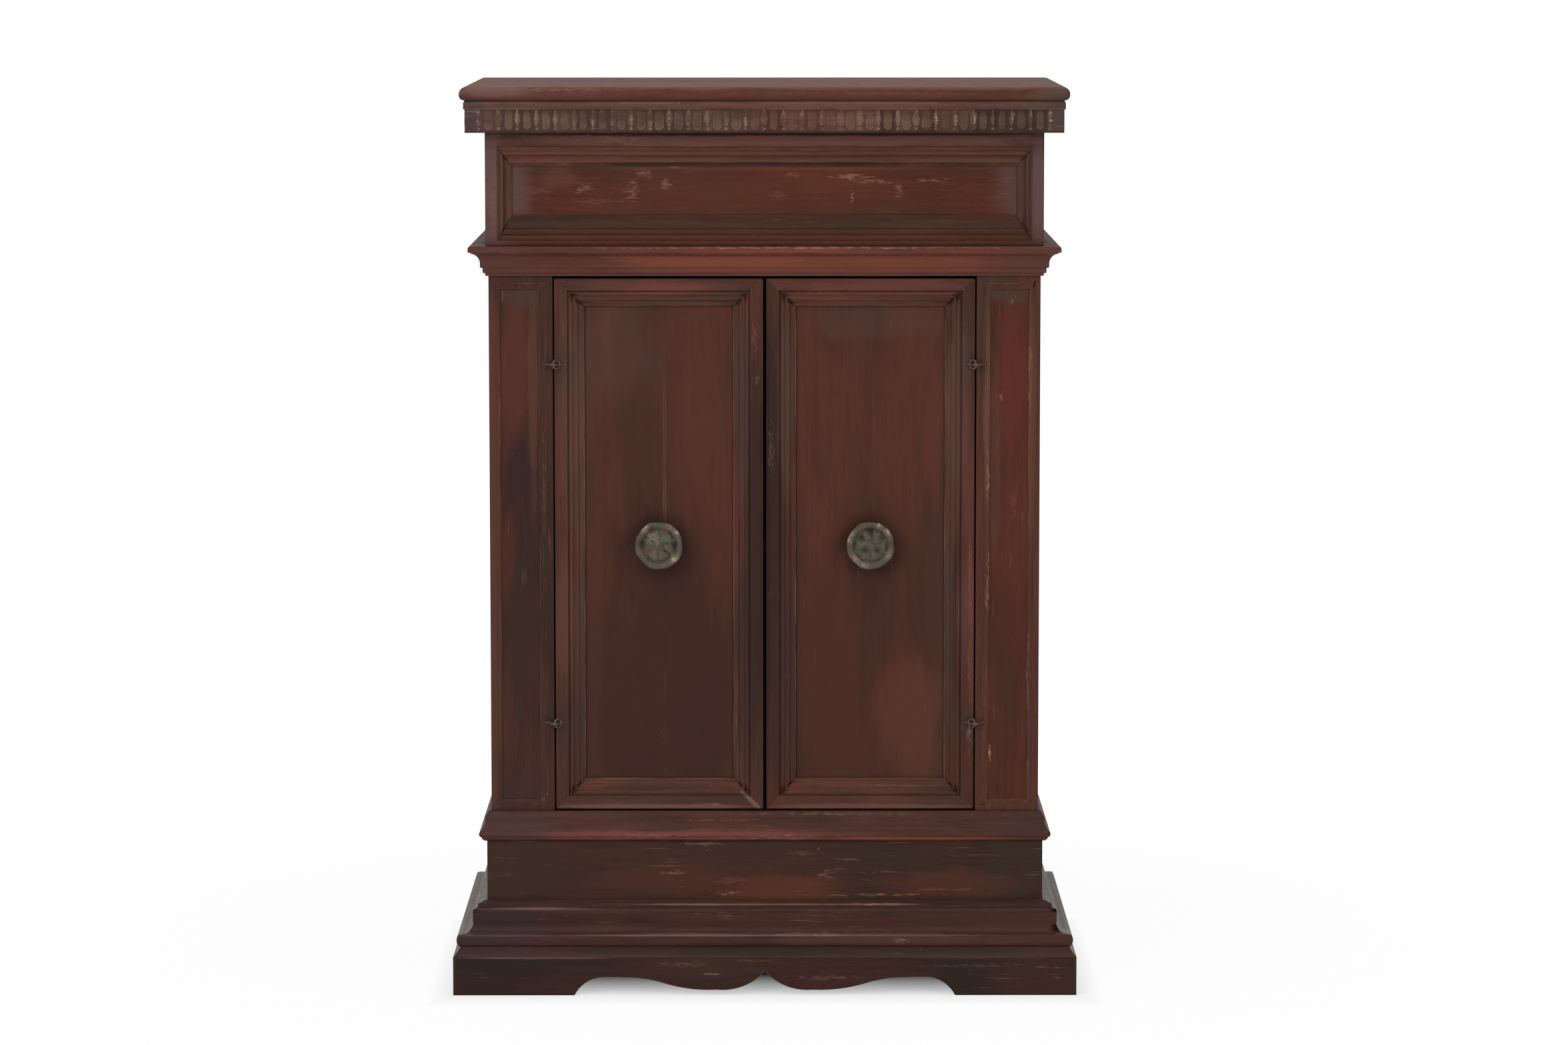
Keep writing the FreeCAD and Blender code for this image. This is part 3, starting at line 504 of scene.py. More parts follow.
strip_stains = on_face(-158, 12, [
    (-298, 480, 9, 330, "#5d382d", 0.55), (-238, 380, 6, 130, "#2c1d17", 0.5), (238, 380, 6, 130, "#3a231b", 0.4),
    (248, 640, 7, 140, "#6b4739", 0.5), (292, 640, 6, 140, "#68432f", 0.45),
])
strip_rubs = on_face(-158, 10, [
    (246, 572, 3, 26, "#94755e", 0.6), (246, 452, 3, 40, "#8a6652", 0.55), (243, 640, 2.5, 60, "#6d4a3c", 0.45),
    (244, 350, 2.5, 60, "#6a473a", 0.4), (291, 690, 3, 60, "#80584a", 0.55), (289, 600, 3, 40, "#745038", 0.5),
    (290, 350, 3, 60, "#7c5648", 0.5), (290, 240, 3, 30, "#76503f", 0.45), (-291, 650, 3, 50, "#6a463c", 0.4),
    (-243, 560, 2.5, 80, "#664438", 0.4), (-246, 218, 10, 2, "#75564a", 0.45),
])
for side, field, strip, stains, rubs in (
    ("left", ("#45251c", "#372119"), ("#48281f", "#3b251c"), left_stains, ()),
    ("right", ("#52271a", "#442419"), ("#532f24", "#462c21"), right_stains, right_rubs),
):
    field_wood = stained_wood("Pilaster walnut, " + side, "Z", *field, hurt=0.42, stains=stains, rubs=rubs)
    strip_wood = stained_wood(
        "Pilaster strip walnut, " + side, "Z", *strip, hurt=0.42, stains=strip_stains, rubs=strip_rubs)
    eased("pilaster_" + side, field_wood, 0.6)
    eased("pilaster_moulding_" + side, strip_wood, 0.4)


# Lower moulding and cornice: run mouldings glued and pinned on above the plinth and above the doors,
# mitred at the corners. They are the reddest and brightest wood, and the light lines along the lower one's
# bullnose are painted highlights.

# The two light lines along the bullnose, at 170 and 174 mm, are painted highlights; the rest are stains.
lower_stains_and_highlights = [
    ((-90, -171, 174), (220, 60, 6), "#74423a", 0.7), ((170, -171, 170), (130, 60, 3.5), "#80472f", 0.7),
    ((150, -171, 177), (120, 60, 4), "#48281f", 0.5), ((-285, -170, 184), (50, 60, 20), "#43302c", 0.6),
    ((290, -170, 184), (40, 60, 20), "#3d2a22", 0.6),
]
lower_rubs = [
    ((-130, -172, 173), (40, 10, 3), "#9a6c62", 0.45), ((10, -172, 172), (70, 10, 3), "#9a6c60", 0.5),
    ((-60, -168, 190), (60, 10, 2), "#7a5044", 0.35), ((60, -166, 197), (110, 14, 1.5), "#80604f", 0.4),
    ((-10, -168, 182), (30, 10, 5), "#704438", 0.3),
]
cornice_stains = [
    ((40, -170, 808), (230, 60, 18), "#763e2e", 0.6), ((-60, -170, 810), (120, 60, 7), "#7e432f", 0.35),
    ((0, -176, 816), (330, 60, 1.2), "#4c2a22", 0.5), ((-300, -170, 806), (60, 90, 30), "#5a3331", 0.5),
    ((300, -170, 806), (60, 90, 30), "#56342f", 0.5), ((0, -170, 796), (330, 60, 4), "#54302a", 0.5),
]
cornice_rubs = [
    ((40, -178, 824.6), (260, 12, 1.3), "#94705f", 0.6), ((60, -176, 810), (200, 10, 1.2), "#8a5440", 0.3),
    ((100, -176, 797), (60, 10, 2), "#805444", 0.35),
]
runs = (
    ("lower_moulding", "#512e27", "#432920", lower_stains_and_highlights, lower_rubs),
    ("cornice", "#67372a", "#563227", cornice_stains, cornice_rubs),
)
for part, red, brown, stains, rubs in runs:
    name = part.capitalize().replace("_", " ") + " walnut, grain "
    across = stained_wood(name + "across", "X", red, brown, stains=stains, rubs=rubs)
    eased_run(part, across, stained_wood(name + "front to back", "Y", red, brown))


# Frieze: a walnut board with a field sunk in its face, and four mitred mouldings that fall to the
# field. The field keeps its red, and is scratched. The mouldings are browner with dirt.

# Besides stains: the near-black line at 949 mm is the painted shadow of the band above, the lighter strip at 942 mm
# is painted light against that shadow, and the pale line at 912 mm is a painted highlight on the field's upper
# bevel.
frieze_stains_and_painted_light = on_face(-152, 20, [
    (-296, 886, 38, 90, "#5c433e", 0.75), (292, 886, 36, 90, "#573b37", 0.75), (-10, 886, 190, 30, "#5c2817", 0.4),
    (-60, 880, 26, 16, "#4c2a1c", 0.5), (70, 894, 40, 14, "#5a2f1c", 0.5), (-225, 900, 24, 12, "#643430", 0.5),
]) + [((0, -161, 942), (330, 6, 9), "#724b42", 0.6)] + on_face(-152, 20, [
    (-120, 868, 90, 6, "#4b2a1e", 0.4), (60, 864, 150, 5, "#46281d", 0.4), (0, 912, 250, 4, "#63402f", 0.4),
]) + [
    ((0, -162, 949), (330, 9, 3.4), "#260e09", 0.95),
    ((-296, -161, 890), (10, 9, 80), "#5f4643", 0.6), ((300, -161, 890), (8, 9, 80), "#5c4442", 0.6),
    ((0, -162, 829), (320, 9, 8), "#5a3126", 0.5),
]
frieze_rubs = on_face(-152, 9, [
    (-198, 889, 11, 8, "#8a5a50", 0.55), (-145, 886, 9, 14, "#86564a", 0.55), (-132, 905, 12, 7, "#80564a", 0.5),
    (-108, 893, 7, 8, "#8a6050", 0.5), (-96, 913, 13, 3, "#86604f", 0.5), (-180, 874, 32, 6, "#71403a", 0.35),
    (-240, 884, 14, 5, "#7c4a42", 0.35), (93, 901, 22, 3, "#90684a", 0.6), (120, 896, 26, 3, "#86604a", 0.55),
    (96, 880, 3, 10, "#8a6048", 0.65), (147, 887, 5, 11, "#84564a", 0.55), (182, 897, 19, 2.6, "#8a6450", 0.55),
    (32, 903, 10, 4, "#7c5a4a", 0.5), (14, 880, 12, 5, "#75443a", 0.4),
]) + [
    ((-170, -161, 943), (50, 4, 5), "#84645c", 0.4), ((-296, -161, 880), (6, 4, 40), "#744a44", 0.35),
]
frieze_wood = stained_wood(
    "Frieze walnut, grain across", "X", "#552818", "#47291a", stains=frieze_stains_and_painted_light, rubs=frieze_rubs)
field_cuts = [(0, s * at) for s in (-1, 1) for at in (275.5, 272, 266)]
field_cuts += [(2, at) for at in (860, 863, 868, 912, 909, 904)]
eased("frieze_board", frieze_wood, 0.6, field_cuts)
# The top moulding's near-black line at 915 mm, along its foot, is a painted shadow on the field's edge.
for part, grain, red, brown, stains in (
    ("bottom", "X", "#472a1e", "#3d281c", [((0, -161, 835), (300, 20, 6), "#5a2d1c", 0.6)]),
    ("left", "Z", "#58392f", "#4c332a", ()),
    ("top", "X", "#673e32", "#5b392d", [((0, -155, 915), (290, 30, 2.4), "#28130b", 0.9)]),
    ("right", "Z", "#58392f", "#4c332a", ()),
):
    edging = stained_wood("Frieze moulding walnut, " + part, grain, red, brown, stains=stains)
    eased("frieze_moulding_" + part, edging, 0.4)


# Carved band: a walnut board under the top, carved by hand with a row of tongues under a fillet.
# Between two tongues stands a long drop, pointed at both ends, with a small round one at its foot.

body_half, body_front, body_back = 302.5, -158.5, 200
band_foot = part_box("fluted_band_front")[0][2] / mm
band_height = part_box("fluted_band_front")[1][2] / mm - band_foot
band_face, fillet_face, fillet_foot = 24.0, 25.5, 25.6
groove, end_margin, tongue_room = 1.9, 15, 21


def cut_depth(u, z, pitch, hand):
    """How deep the carver went, in mm, at u from a tongue's middle and z above the band's foot."""
    tongue_half, tip, swell, drop = 4.7 * hand[0], 7.2 + hand[1], 3.9 * hand[2], 1.9 * hand[3]
    tongue_foot, widest, drop_top = 8, 14.5, 24.5
    depth = groove
    # The tongue is rounded over, ends in a half circle and sinks back towards its top.
    far = abs(u) if z > tongue_foot else math.hypot(u, z - tongue_foot)
    if far < tongue_half:
        back = 0.2 + 1.3 * min(1.0, max(0.0, (z - 13) / 11)) ** 1.5
        depth = min(depth, back + 1.2 * (1 - math.sqrt(1 - (far / tongue_half) ** 2)))
    # The long drop swells from its tip and narrows upwards, and the round one is a small ball.
    side = pitch / 2 - abs(u)
    if z > tip:
        lower = swell * math.sqrt(max(0.0, (z - tip) / (widest - tip)))
        half = 1.1 + (swell - 1.1) * (drop_top - z) / (drop_top - widest) if z > widest else lower
        if side < half:
            depth = min(depth, 0.1 + 1.1 * (side / half) ** 2)
    far = math.hypot(side, z - 4.4)
    if far < drop:
        depth = min(depth, groove - 1.6 * math.sqrt(1 - (far / drop) ** 2))
    return depth * min(1.0, max(0.0, (z - 1.3) / 1.0)) * min(1.0, max(0.0, (fillet_foot - z) / 0.9))


def finish_shaped(piece, finish):
    """Turn an edited piece's faces outward, smooth it, give it its finish, and give back its mesh to measure."""
    bpy.ops.mesh.select_all(action="SELECT")
    bpy.ops.mesh.normals_make_consistent(inside=False)
    bpy.ops.object.mode_set(mode="OBJECT")
    bpy.ops.object.shade_smooth_by_angle(angle=math.radians(60))
    piece.data.materials.append(finish)
    mesh = bmesh.new()
    mesh.from_mesh(piece.data)
    mesh.normal_update()
    return mesh


def carved_run(node, length, place, wood):
    """One length of the band, carved on a fine grid. place turns u, out and z in mm into a point."""
    grid, rows = 0.72, 46
    bpy.ops.mesh.primitive_grid_add(x_subdivisions=round(length / grid), y_subdivisions=rows, size=1)
    piece = bpy.context.object
    piece.name = node + "_carved"
    count = round((length - 2 * end_margin) / tongue_room)
    pitch = (length - 2 * end_margin) / count
    dice = random.Random(node)
    # How each cut differs: the tongue's width, the long drop's tip and swelling, the round drop, lean, depth.
    spread = ((0.8, 1.08), (-1.2, 1.2), (0.6, 1.1), (0.6, 1.2), (-1.4, 1.4), (0.55, 1.0))
    hands = [[dice.uniform(*ends) for ends in spread] for i in range(count)]
    # Each drop gets a pale patch of its own strength: a painted highlight.
    pale = [dice.uniform(0.0, 0.6) for i in range(count + 1)]
    depths, rubbing_and_highlight = [], []
    for vert in piece.data.vertices:
        u, z = (vert.co.x + 0.5) * length, (vert.co.y + 0.5) * band_height
        # The fillet's upper edge is planed back.
        out = fillet_face - 1.6 * max(0.0, min(1.0, (z - 32.4) / 2.6)) if z > fillet_foot else band_face
        at = (u - end_margin) / pitch
        depth = 0.0
        if 0 < at < count and z < fillet_foot:
            hand = hands[int(at)]
            middle = (at - int(at) - 0.5) * pitch
            lean = hand[4] * (1 - abs(middle) / (pitch / 2))
            # The row was cut deeper towards its right-hand end.
            depth = cut_depth(middle - lean, z, pitch, hand) * hand[5] * (1.0 if u > 0.78 * length else 0.75)
        depths.append(depth)
        on_drop = 0.5 < at < count + 0.5 and abs(at - round(at)) * pitch < 4.5 and z < 24
        rubbing_and_highlight.append(pale[min(count, round(at))] * max(0.0, 1 - depth / 1.3) if on_drop and depth > 0 else 0)
        shake = noise.noise(Vector((u * 0.09, z * 0.12, len(node))))
        shake += 0.5 * noise.noise(Vector((u * 0.5, z * 0.5, len(node))))
        vert.co = place(u, out - depth - 0.22 * (1.5 + shake), z + band_foot) * mm
    bpy.ops.object.mode_set(mode="EDIT")
    bpy.ops.mesh.select_mode(type="EDGE")
    bpy.ops.mesh.select_all(action="DESELECT")
    bpy.ops.mesh.select_non_manifold()
    bpy.ops.mesh.extrude_region_move()
    mesh = bmesh.from_edit_mesh(piece.data)
    # The border is drawn back under the board, where it is hidden, and closed.
    hidden_half, hidden_front = body_half + 3.2, body_front - 3.2
    for vert in mesh.verts:
        if vert.select:
            vert.co.x = max(-hidden_half * mm, min(hidden_half * mm, vert.co.x))
            vert.co.y = max(hidden_front * mm, vert.co.y)
    bmesh.update_edit_mesh(piece.data)
    bpy.ops.mesh.edge_face_add()
    mesh = finish_shaped(piece, wood)
    wear_and_highlight, shade_and_soil = [], []
    for i, vert in enumerate(mesh.verts):
        ring = [e.other_vert(vert).co for e in vert.link_edges]
        bulge = (vert.co - sum(ring, Vector()) / len(ring)).dot(vert.normal) / mm
        depth = depths[i] if i < len(depths) else 0
        # The band's foot is made dark as a painted shadow under the band, and the deeper cuts as painted shade.
        edge = vert.co.z / mm - band_foot < 1.8
        # The pale drops are painted highlights, added to the wear on the carving's high points.
        rub = rubbing_and_highlight[i] * 1.4 if i < len(rubbing_and_highlight) else 0
        high = min(0.9, max(0, bulge * 9 - 0.1)) + max(0, 0.35 - depth * 0.5) * (0 < depth)
        wear_and_highlight.append(0 if edge else max(rub, high))
        shade_and_soil.append(0.9 if edge else min(0.8, max(0, (depth - 0.6) / 1.6)))
    mesh.free()
    mark(piece, node, wear_and_highlight, shade_and_soil)
    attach(piece, "carcass")
    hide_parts(node)
    piece.select_set(False)


# The purple-grey at both ends is a painted reflection of the room on the rounded corners; the rest are stains.
band_stains_and_reflections = [
    ((-318, -180, 968), (14, 60, 40), "#403234", 0.8), ((320, -180, 968), (11, 60, 40), "#433437", 0.7),
    ((0, -185, 981), (330, 60, 3.5), "#66403a", 0.6), ((290, -180, 962), (40, 60, 20), "#4b3c30", 0.6),
    ((-250, -180, 962), (60, 60, 20), "#4f4034", 0.5),
]
# Pale flecks on the drops are painted highlights.
drop_highlights = [((x, -183, 965), (2.4, 8, 9), "#9c8b7b", strong) for x, strong in (
    (-312, 0.6), (-270, 0.4), (-228, 0.3), (-187, 0.45), (-145, 0.35), (-104, 0.4), (-21, 0.35), (62, 0.3),
    (104, 0.35), (187, 0.75), (208, 0.4), (229, 0.75), (270, 0.6), (311, 0.6))]
band_wood = stained_wood(
    "Carved walnut, grain across", "X", "#5d3b31", "#4f372d", wear_and_highlight="#8a7365", shade_soil_colour="#33211a",
    stains=band_stains_and_reflections, rubs=drop_highlights)
band_return = stained_wood(
    "Carved walnut, grain front to back", "Y", "#5b3a31", "#4e372d", wear_and_highlight="#84665b", shade_soil_colour="#33211a")
band_half = body_half + band_face
band_depth = body_back - body_front + band_face
carved_run("fluted_band_front", 2 * band_half, lambda u, out, z: Vector((
    (u - band_half) * (body_half + out) / band_half, body_front - out, z)), band_wood)
for side, way in (("right", 1), ("left", -1)):
    carved_run("fluted_band_" + side, band_depth, lambda u, out, z: Vector((
        way * (body_half + out), body_back - (band_depth - u) * (body_back - body_front + out) / band_depth, z,
    )), band_return)


# Top board: one walnut board with a rounded nosing on three sides, which closes the case above the carved
# band. Its upper edge is rubbed pale all along, and its wax is duller than elsewhere.

# The pale patch at the nosing's left end is a painted highlight; the rest are stains and the top's own paler colour.
top_stains_and_highlight = [
    ((0, 0, 1003), (2400, 1600, 6), "#764b3d", 0.9), ((-120, 60, 1000), (150, 60, 3), "#5c3a30", 0.5),
    ((200, -60, 1000), (120, 50, 3), "#664238", 0.4), ((-290, -186, 997), (50, 40, 8), "#80605c", 0.5),
    ((-250, -188, 990), (80, 60, 10), "#5e3836", 0.4), ((60, -188, 989), (220, 60, 9), "#54301f", 0.5),
    ((310, -188, 992), (24, 60, 10), "#56453a", 0.5),
]
top_rubs = [((-230, -188, 997), (90, 20, 2), "#8a6860", 0.35), ((100, -188, 993), (200, 20, 2), "#7a4c40", 0.25)]
top_wood = stained_wood(
    "Top walnut, grain across", "X", "#573126", "#4b2d24", gloss=0.55, stains=top_stains_and_highlight, rubs=top_rubs)
eased("top_board", top_wood, 0.9)


# Doors: stiles and rails of moulded walnut, mitred at the corners and grooved for a thin flat panel.
# The left panel is glued up from two boards, and its joint has opened from the top to the knob.

knob_out, knob_z, panel_face = 116.25, 497, -150.7
mitre_stains = on_face(-158, 20, [(-7 - step, 203 + step, 2.6, 2.6, "#7c6757", 0.5) for step in range(0, 20, 3)])
# Each door's own marks: stains and rubs of the rails, of the stiles and of the panel.
own_marks = {
    "left": (
        mitre_stains + on_face(-158, 20, [(-112, 779, 44, 7, "#733a33", 0.4)]),
        on_face(-158, 8, [(-54, 206, 9, 2.5, "#80604f", 0.5), (-110, 779, 40, 5, "#74383a", 0.35)]),
        [],
        on_face(-158, 8, [(-11, 728, 4, 22, "#743c3a", 0.5), (-8, 680, 2.5, 8, "#6d7068", 0.3)]),
        on_face(-151, 20, [
            (-170, 712, 60, 60, "#593a35", 0.35), (-80, 640, 40, 90, "#502b22", 0.35),
        ]) + on_face(-151, 5, [
            (-110, 620, 1.8, 60, "#64433a", 0.5), (-110, 545, 2.2, 30, "#6b483d", 0.6),
            (-110, 400, 1.5, 160, "#3c241c", 0.5),
        ]),
        on_face(-151, 20, [(-112, 283, 3, 8, "#6d4a3c", 0.4)]),
    ),
    "right": (
        [],
        on_face(-158, 8, [(150, 228, 46, 2, "#7a5a4a", 0.35), (60, 776, 20, 4, "#7a4038", 0.4)]),
        on_face(-158, 20, [(228, 400, 3.5, 90, "#66342b", 0.5), (224, 560, 8, 70, "#5f3430", 0.5)]),
        on_face(-158, 8, [
            (226, 460, 2.5, 80, "#8c443b", 0.4), (226, 360, 2.5, 36, "#844a30", 0.4),
            (226, 285, 3, 26, "#84685c", 0.45), (7, 600, 4, 30, "#75564a", 0.35),
        ]),
        on_face(-151, 20, [
            (162, 300, 40, 70, "#5e3629", 0.5), (60, 340, 30, 120, "#432519", 0.4),
            (185, 620, 12, 90, "#5c2c24", 0.5), (120, 742, 90, 20, "#543a34", 0.3),
        ]),
        [],
    ),
}
for side, sign in (("left", -1), ("right", 1)):
    own_rail, rail_rubs, own_stile, stile_rubs, own_panel, panel_rubs = own_marks[side]
    left = side == "left"
    rail_stains = on_face(-158, 20, [
        (sign * 130, 780, 80, 10, "#643630", 0.5), (sign * 60, 214, 60, 10, "#3b261f", 0.4),
    ]) + on_face(-159, 20, [(sign * 116, 204, 115, 3.5, "#77544a", 0.55 if left else 0.4)])
    stile_stains = on_face(-158, 20, [
        (sign * 10, 480, 12, 270, "#2e1a14", 0.85), (sign * 22, 370, 12, 150, "#33211a" if left else "#38251e", 0.6),
        (sign * 24, 660, 9, 110, "#42302a" if left else "#523a31", 0.6),
        (sign * 3, 500, 2.4, 330, "#1f120d", 0.25 if left else 0.7), (sign * 212, 650, 14, 120, "#624035", 0.45),
        (sign * 200, 370, 7, 130, "#34231c", 0.5), (sign * 220, 700, 14, 30, "#43332a", 0.6),
        (sign * 220, 300, 14, 24, "#3b2a23", 0.6), (sign * 203, 520, 5, 250, "#543e37", 0.35),
        (sign * 222, 420, 12, 60, "#5c3b32", 0.5),
    ])
    # The dark ring round the knob is a painted shadow together with grime; the rest are stains.
    panel_stains_and_knob_shadow = [((sign * knob_out, -151, knob_z - 4), (34, 5, 36), "#29160f", 0.9)] + on_face(-151, 20, [
        (sign * knob_out, 320, 130, 190, "#381c15", 0.78 if left else 0.4),
        (sign * 190, 500, 12, 270, "#452820", 0.5),
    ])
    rails = stained_wood(
        "Door rail walnut, " + side, "X", "#5a3429", "#4c3027", stains=rail_stains + own_rail, rubs=rail_rubs)
    red, brown = ("#563127", "#482c23") if left else ("#502b20", "#43281e")
    stiles = stained_wood(
        "Door stile walnut, " + side, "Z", red, brown, stains=stile_stains + own_stile, rubs=stile_rubs)
    for part in ("rail_top", "rail_bottom", "stile_hinge", "stile_meeting"):
        eased(side + "_door_" + part, rails if "rail" in part else stiles, 0.6)
    panel_wood = stained_wood(
        "Door panel walnut, " + side, "Z", "#502a1f", "#43251b", figure=0.32, hurt=0.08,
        stains=panel_stains_and_knob_shadow + own_panel, rubs=panel_rubs)
    edges = [(0, sign * at) for at in (35.5, 38, 43, 197, 194.5, 189.5)]
    edges += [(2, at) for at in (237, 240, 245, 758, 755, 750)]
    eased(side + "_door_panel", panel_wood, 0.5, edges)

# A thin tongue lies between the left panel's boards. Where the joint has opened it shows unstained wood.
joint_x, behind_face = -110.05, 2.6
low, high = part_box("left_door_panel")
bpy.ops.mesh.primitive_cube_add(
    size=1, location=(joint_x * mm, (panel_face + behind_face) * mm, (low[2] + high[2]) / 2))
tongue = bpy.context.object
tongue.name = "left_panel_tongue"
tongue.scale = (1.6 * mm, 4.0 * mm, high[2] - low[2] - 2 * mm)
bpy.ops.object.transform_apply(location=True, rotation=True, scale=True)
tongue.data.materials.append(stained_wood(
    "Panel tongue walnut", "Z", "#5c4036", "#4f372e", stains=[((-110, -148, 350), (40, 20, 130), "#2c1914", 1.0)]))
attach(tongue, "left_door")
tongue.select_set(False)


# Hinges: pairs of forged iron eyes linked like a chain, one driven through the pilaster and one
# through the door's stile, with their points clenched over behind.

for node in ("frame_hinge_eyes", "left_door_hinge_eyes", "right_door_hinge_eyes"):
    finish_solid(node, iron)


# Knobs: cast bronze rosettes, chased by hand, with an eight-sided notched rim round six leaves and a
# button. Each stands on a neck whose tail goes through the panel to a square iron nut.

# Bronze goes grey-green with age and stays pinkish and pale only on the high points.
# The pale places listed for each knob are partly wear and partly painted highlights.
bronze = new_finish("Aged cast bronze")
place = add(bronze, "TexCoord", out="Object")
arris, nook = (add(bronze, "Attribute", out="Fac", attribute_name=kept) for kept in ("wear_and_highlight", "shade_and_soil"))
grain = add(bronze, "TexNoise", {"Vector": place, "Scale": 260.0, "Detail": 4.0, "Roughness": 0.6})
patches = add(bronze, "TexNoise", {"Vector": place, "Scale": 90.0, "Detail": 4.0, "Roughness": 0.65})
green = add(bronze, "MapRange", [patches, 0.42, 0.58])
skin = add(bronze, "Mix", {"Factor": green, "A": linear("#57483a"), "B": linear("#454430")})
deep = add(bronze, "MapRange", [nook, 0.08, 0.5])
skin = add(bronze, "Mix", {"Factor": deep, "A": skin, "B": linear("#1a1511")})
spots = add(bronze, "TexNoise", {"Vector": place, "Scale": 300.0, "Detail": 3.0})
spots = add(bronze, "MapRange", [spots, 0.38, 0.6, 0.25])
pale_and_highlit = add(bronze, "Math", [arris, spots], operation="MULTIPLY")
skin = add(bronze, "Mix", {"Factor": pale_and_highlit, "A": skin, "B": linear("#b3a290")})
metal = add(bronze, "MapRange", [pale_and_highlit, 0.0, 1.0, 0.3, 0.7])
rough = add(bronze, "MapRange", [grain, 0.0, 1.0, 0.4, 0.65])
bump = add(bronze, "Bump", {"Strength": 0.5, "Distance": 0.25 * mm, "Height": grain})
surface = add(bronze, "BsdfPrincipled", {"Base Color": skin, "Metallic": metal, "Roughness": rough, "Normal": bump})
add(bronze, "OutputMaterial", {"Surface": surface})

# The section, from the tail's end behind the panel to the button: radius and height off the panel.
knob_section = [
    (3.0, -14.0), (3.0, -0.05), (8.5, 0.0), (8.5, 1.8), (7.6, 2.6), (5.4, 4.2), (4.9, 8.0), (5.3, 12.0), (7.4, 15.6),
    (11.0, 18.0), (16.0, 19.8), (21.0, 20.8), (24.6, 21.6), (26.3, 22.6), (26.8, 23.8), (26.3, 25.0), (25.2, 25.9),
    (24.0, 26.2), (22.6, 26.0), (21.2, 25.4), (20.0, 24.6), (19.2, 23.4), (18.4, 22.7), (17.6, 23.0), (16.8, 24.2),
    (15.4, 25.3), (13.8, 26.1), (12.0, 26.9), (10.2, 27.5), (8.6, 27.9), (7.4, 27.9), (6.4, 27.5), (5.6, 27.5),
    (4.8, 28.3), (4.0, 28.9), (3.0, 29.4), (1.8, 29.8), (0.7, 30.0),
]


def chase(vert, dice):
    """Move a point of the turned knob to the lobes, leaves and notches that were cast and chased."""
    radius, turn, height = math.hypot(vert.co.x, vert.co.y) / mm, math.atan2(vert.co.y, vert.co.x), vert.co.z / mm
    neck_top, half_side = 16, math.pi / 8
    if height < neck_top or radius < 0.5:
        return
    # The rim is eight-sided, notched along its edge and uneven on top.
    flat = math.cos(half_side) / math.cos((turn + half_side) % (2 * half_side) - half_side)
    if radius > 15 or height < 22:
        radius *= 1 - (0.3 * (1 - flat) + 0.012 * math.sin(5 * turn + dice)) * min(1.0, max(0.0, (radius - 12) / 10))
    if radius > 20.5:
        height -= 0.7 * abs(math.sin(16 * turn)) * min(1.0, radius - 20.5)
    if radius > 19.5 and height > 24:
        height -= 0.4 * (1 + noise.noise(Vector((turn * 4, radius * 0.3, dice))))
    # The six leaves stand between the rim and the button, and no two are chased alike.
    if 5.6 < radius < 18 and height > 22.5:
        leaf = abs(math.cos(3 * turn + 0.4 + 0.3 * math.sin(turn + dice))) ** 0.8
        window = min(1.0, (radius - 5.6) / 2.5) * min(1.0, (18.0 - radius) / 2.0)
        height -= 2.3 * (1 - leaf) * window
        height += 1.1 * noise.noise(Vector((math.cos(turn) * radius * 0.3, math.sin(turn) * radius * 0.3, dice)))
    vert.co = Vector((radius * math.cos(turn), radius * math.sin(turn), height)) * mm


def rosette(node, x, dice, pale_and_highlit, dark):
    """The knob, drawn up ring by ring from its tail, then chased and set in its panel.

    bright are pale places, partly wear and partly painted highlights, and dark are grimy places:
    across and up from the middle, reach in mm, how strong.
    """
    bpy.ops.mesh.primitive_circle_add(vertices=192, radius=knob_section[0][0] * mm, fill_type="NGON")
    piece = bpy.context.object
    piece.name = node + "_chased"
    bpy.ops.object.mode_set(mode="EDIT")
    bpy.ops.mesh.select_all(action="SELECT")
    bpy.ops.transform.translate(value=(0, 0, knob_section[0][1] * mm))
    for before, after in zip(knob_section, knob_section[1:]):
        bpy.ops.mesh.extrude_region_move(TRANSFORM_OT_translate={"value": (0, 0, (after[1] - before[1]) * mm)})
        ratio = after[0] / before[0]
        bpy.ops.transform.resize(value=(ratio, ratio, 1), center_override=(0, 0, 0))
    bpy.ops.object.mode_set(mode="OBJECT")
    for vert in piece.data.vertices:
        chase(vert, dice)
        vert.co = Vector((vert.co.x + x * mm, panel_face * mm - vert.co.z, vert.co.y + knob_z * mm))
    bpy.ops.object.mode_set(mode="EDIT")
    mesh = finish_shaped(piece, bronze)
    own, shade_reach = BVHTree.FromBMesh(mesh), 7 * mm
    wear_and_highlight, shade_and_soil = [], []
    for vert in mesh.verts:
        across, up, out = vert.co.x / mm - x, vert.co.z / mm - knob_z, panel_face - vert.co.y / mm
        rubbing_and_highlight, grimy = (
            max(strong * math.exp(-((across - x0) ** 2 + (up - z0) ** 2) / reach ** 2)
                for x0, z0, reach, strong in places)
            for places in (pale_and_highlit, dark))
        wear_and_highlight.append(rubbing_and_highlight if out > 22 else 0)
        turn = vert.normal.to_track_quat("Z", "X")
        hits = [own.ray_cast(vert.co + vert.normal * (0.2 * mm), turn @ ray, shade_reach)[3] for ray in sky]
        shade_and_soil.append(max(grimy if out > 20 else 0, sum(1 - far / shade_reach for far in hits if far) / len(sky)))
    mesh.free()
    mark(piece, node, wear_and_highlight, shade_and_soil)
    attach(piece, node.split("_")[0] + "_door")
    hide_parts(node)
    piece.select_set(False)


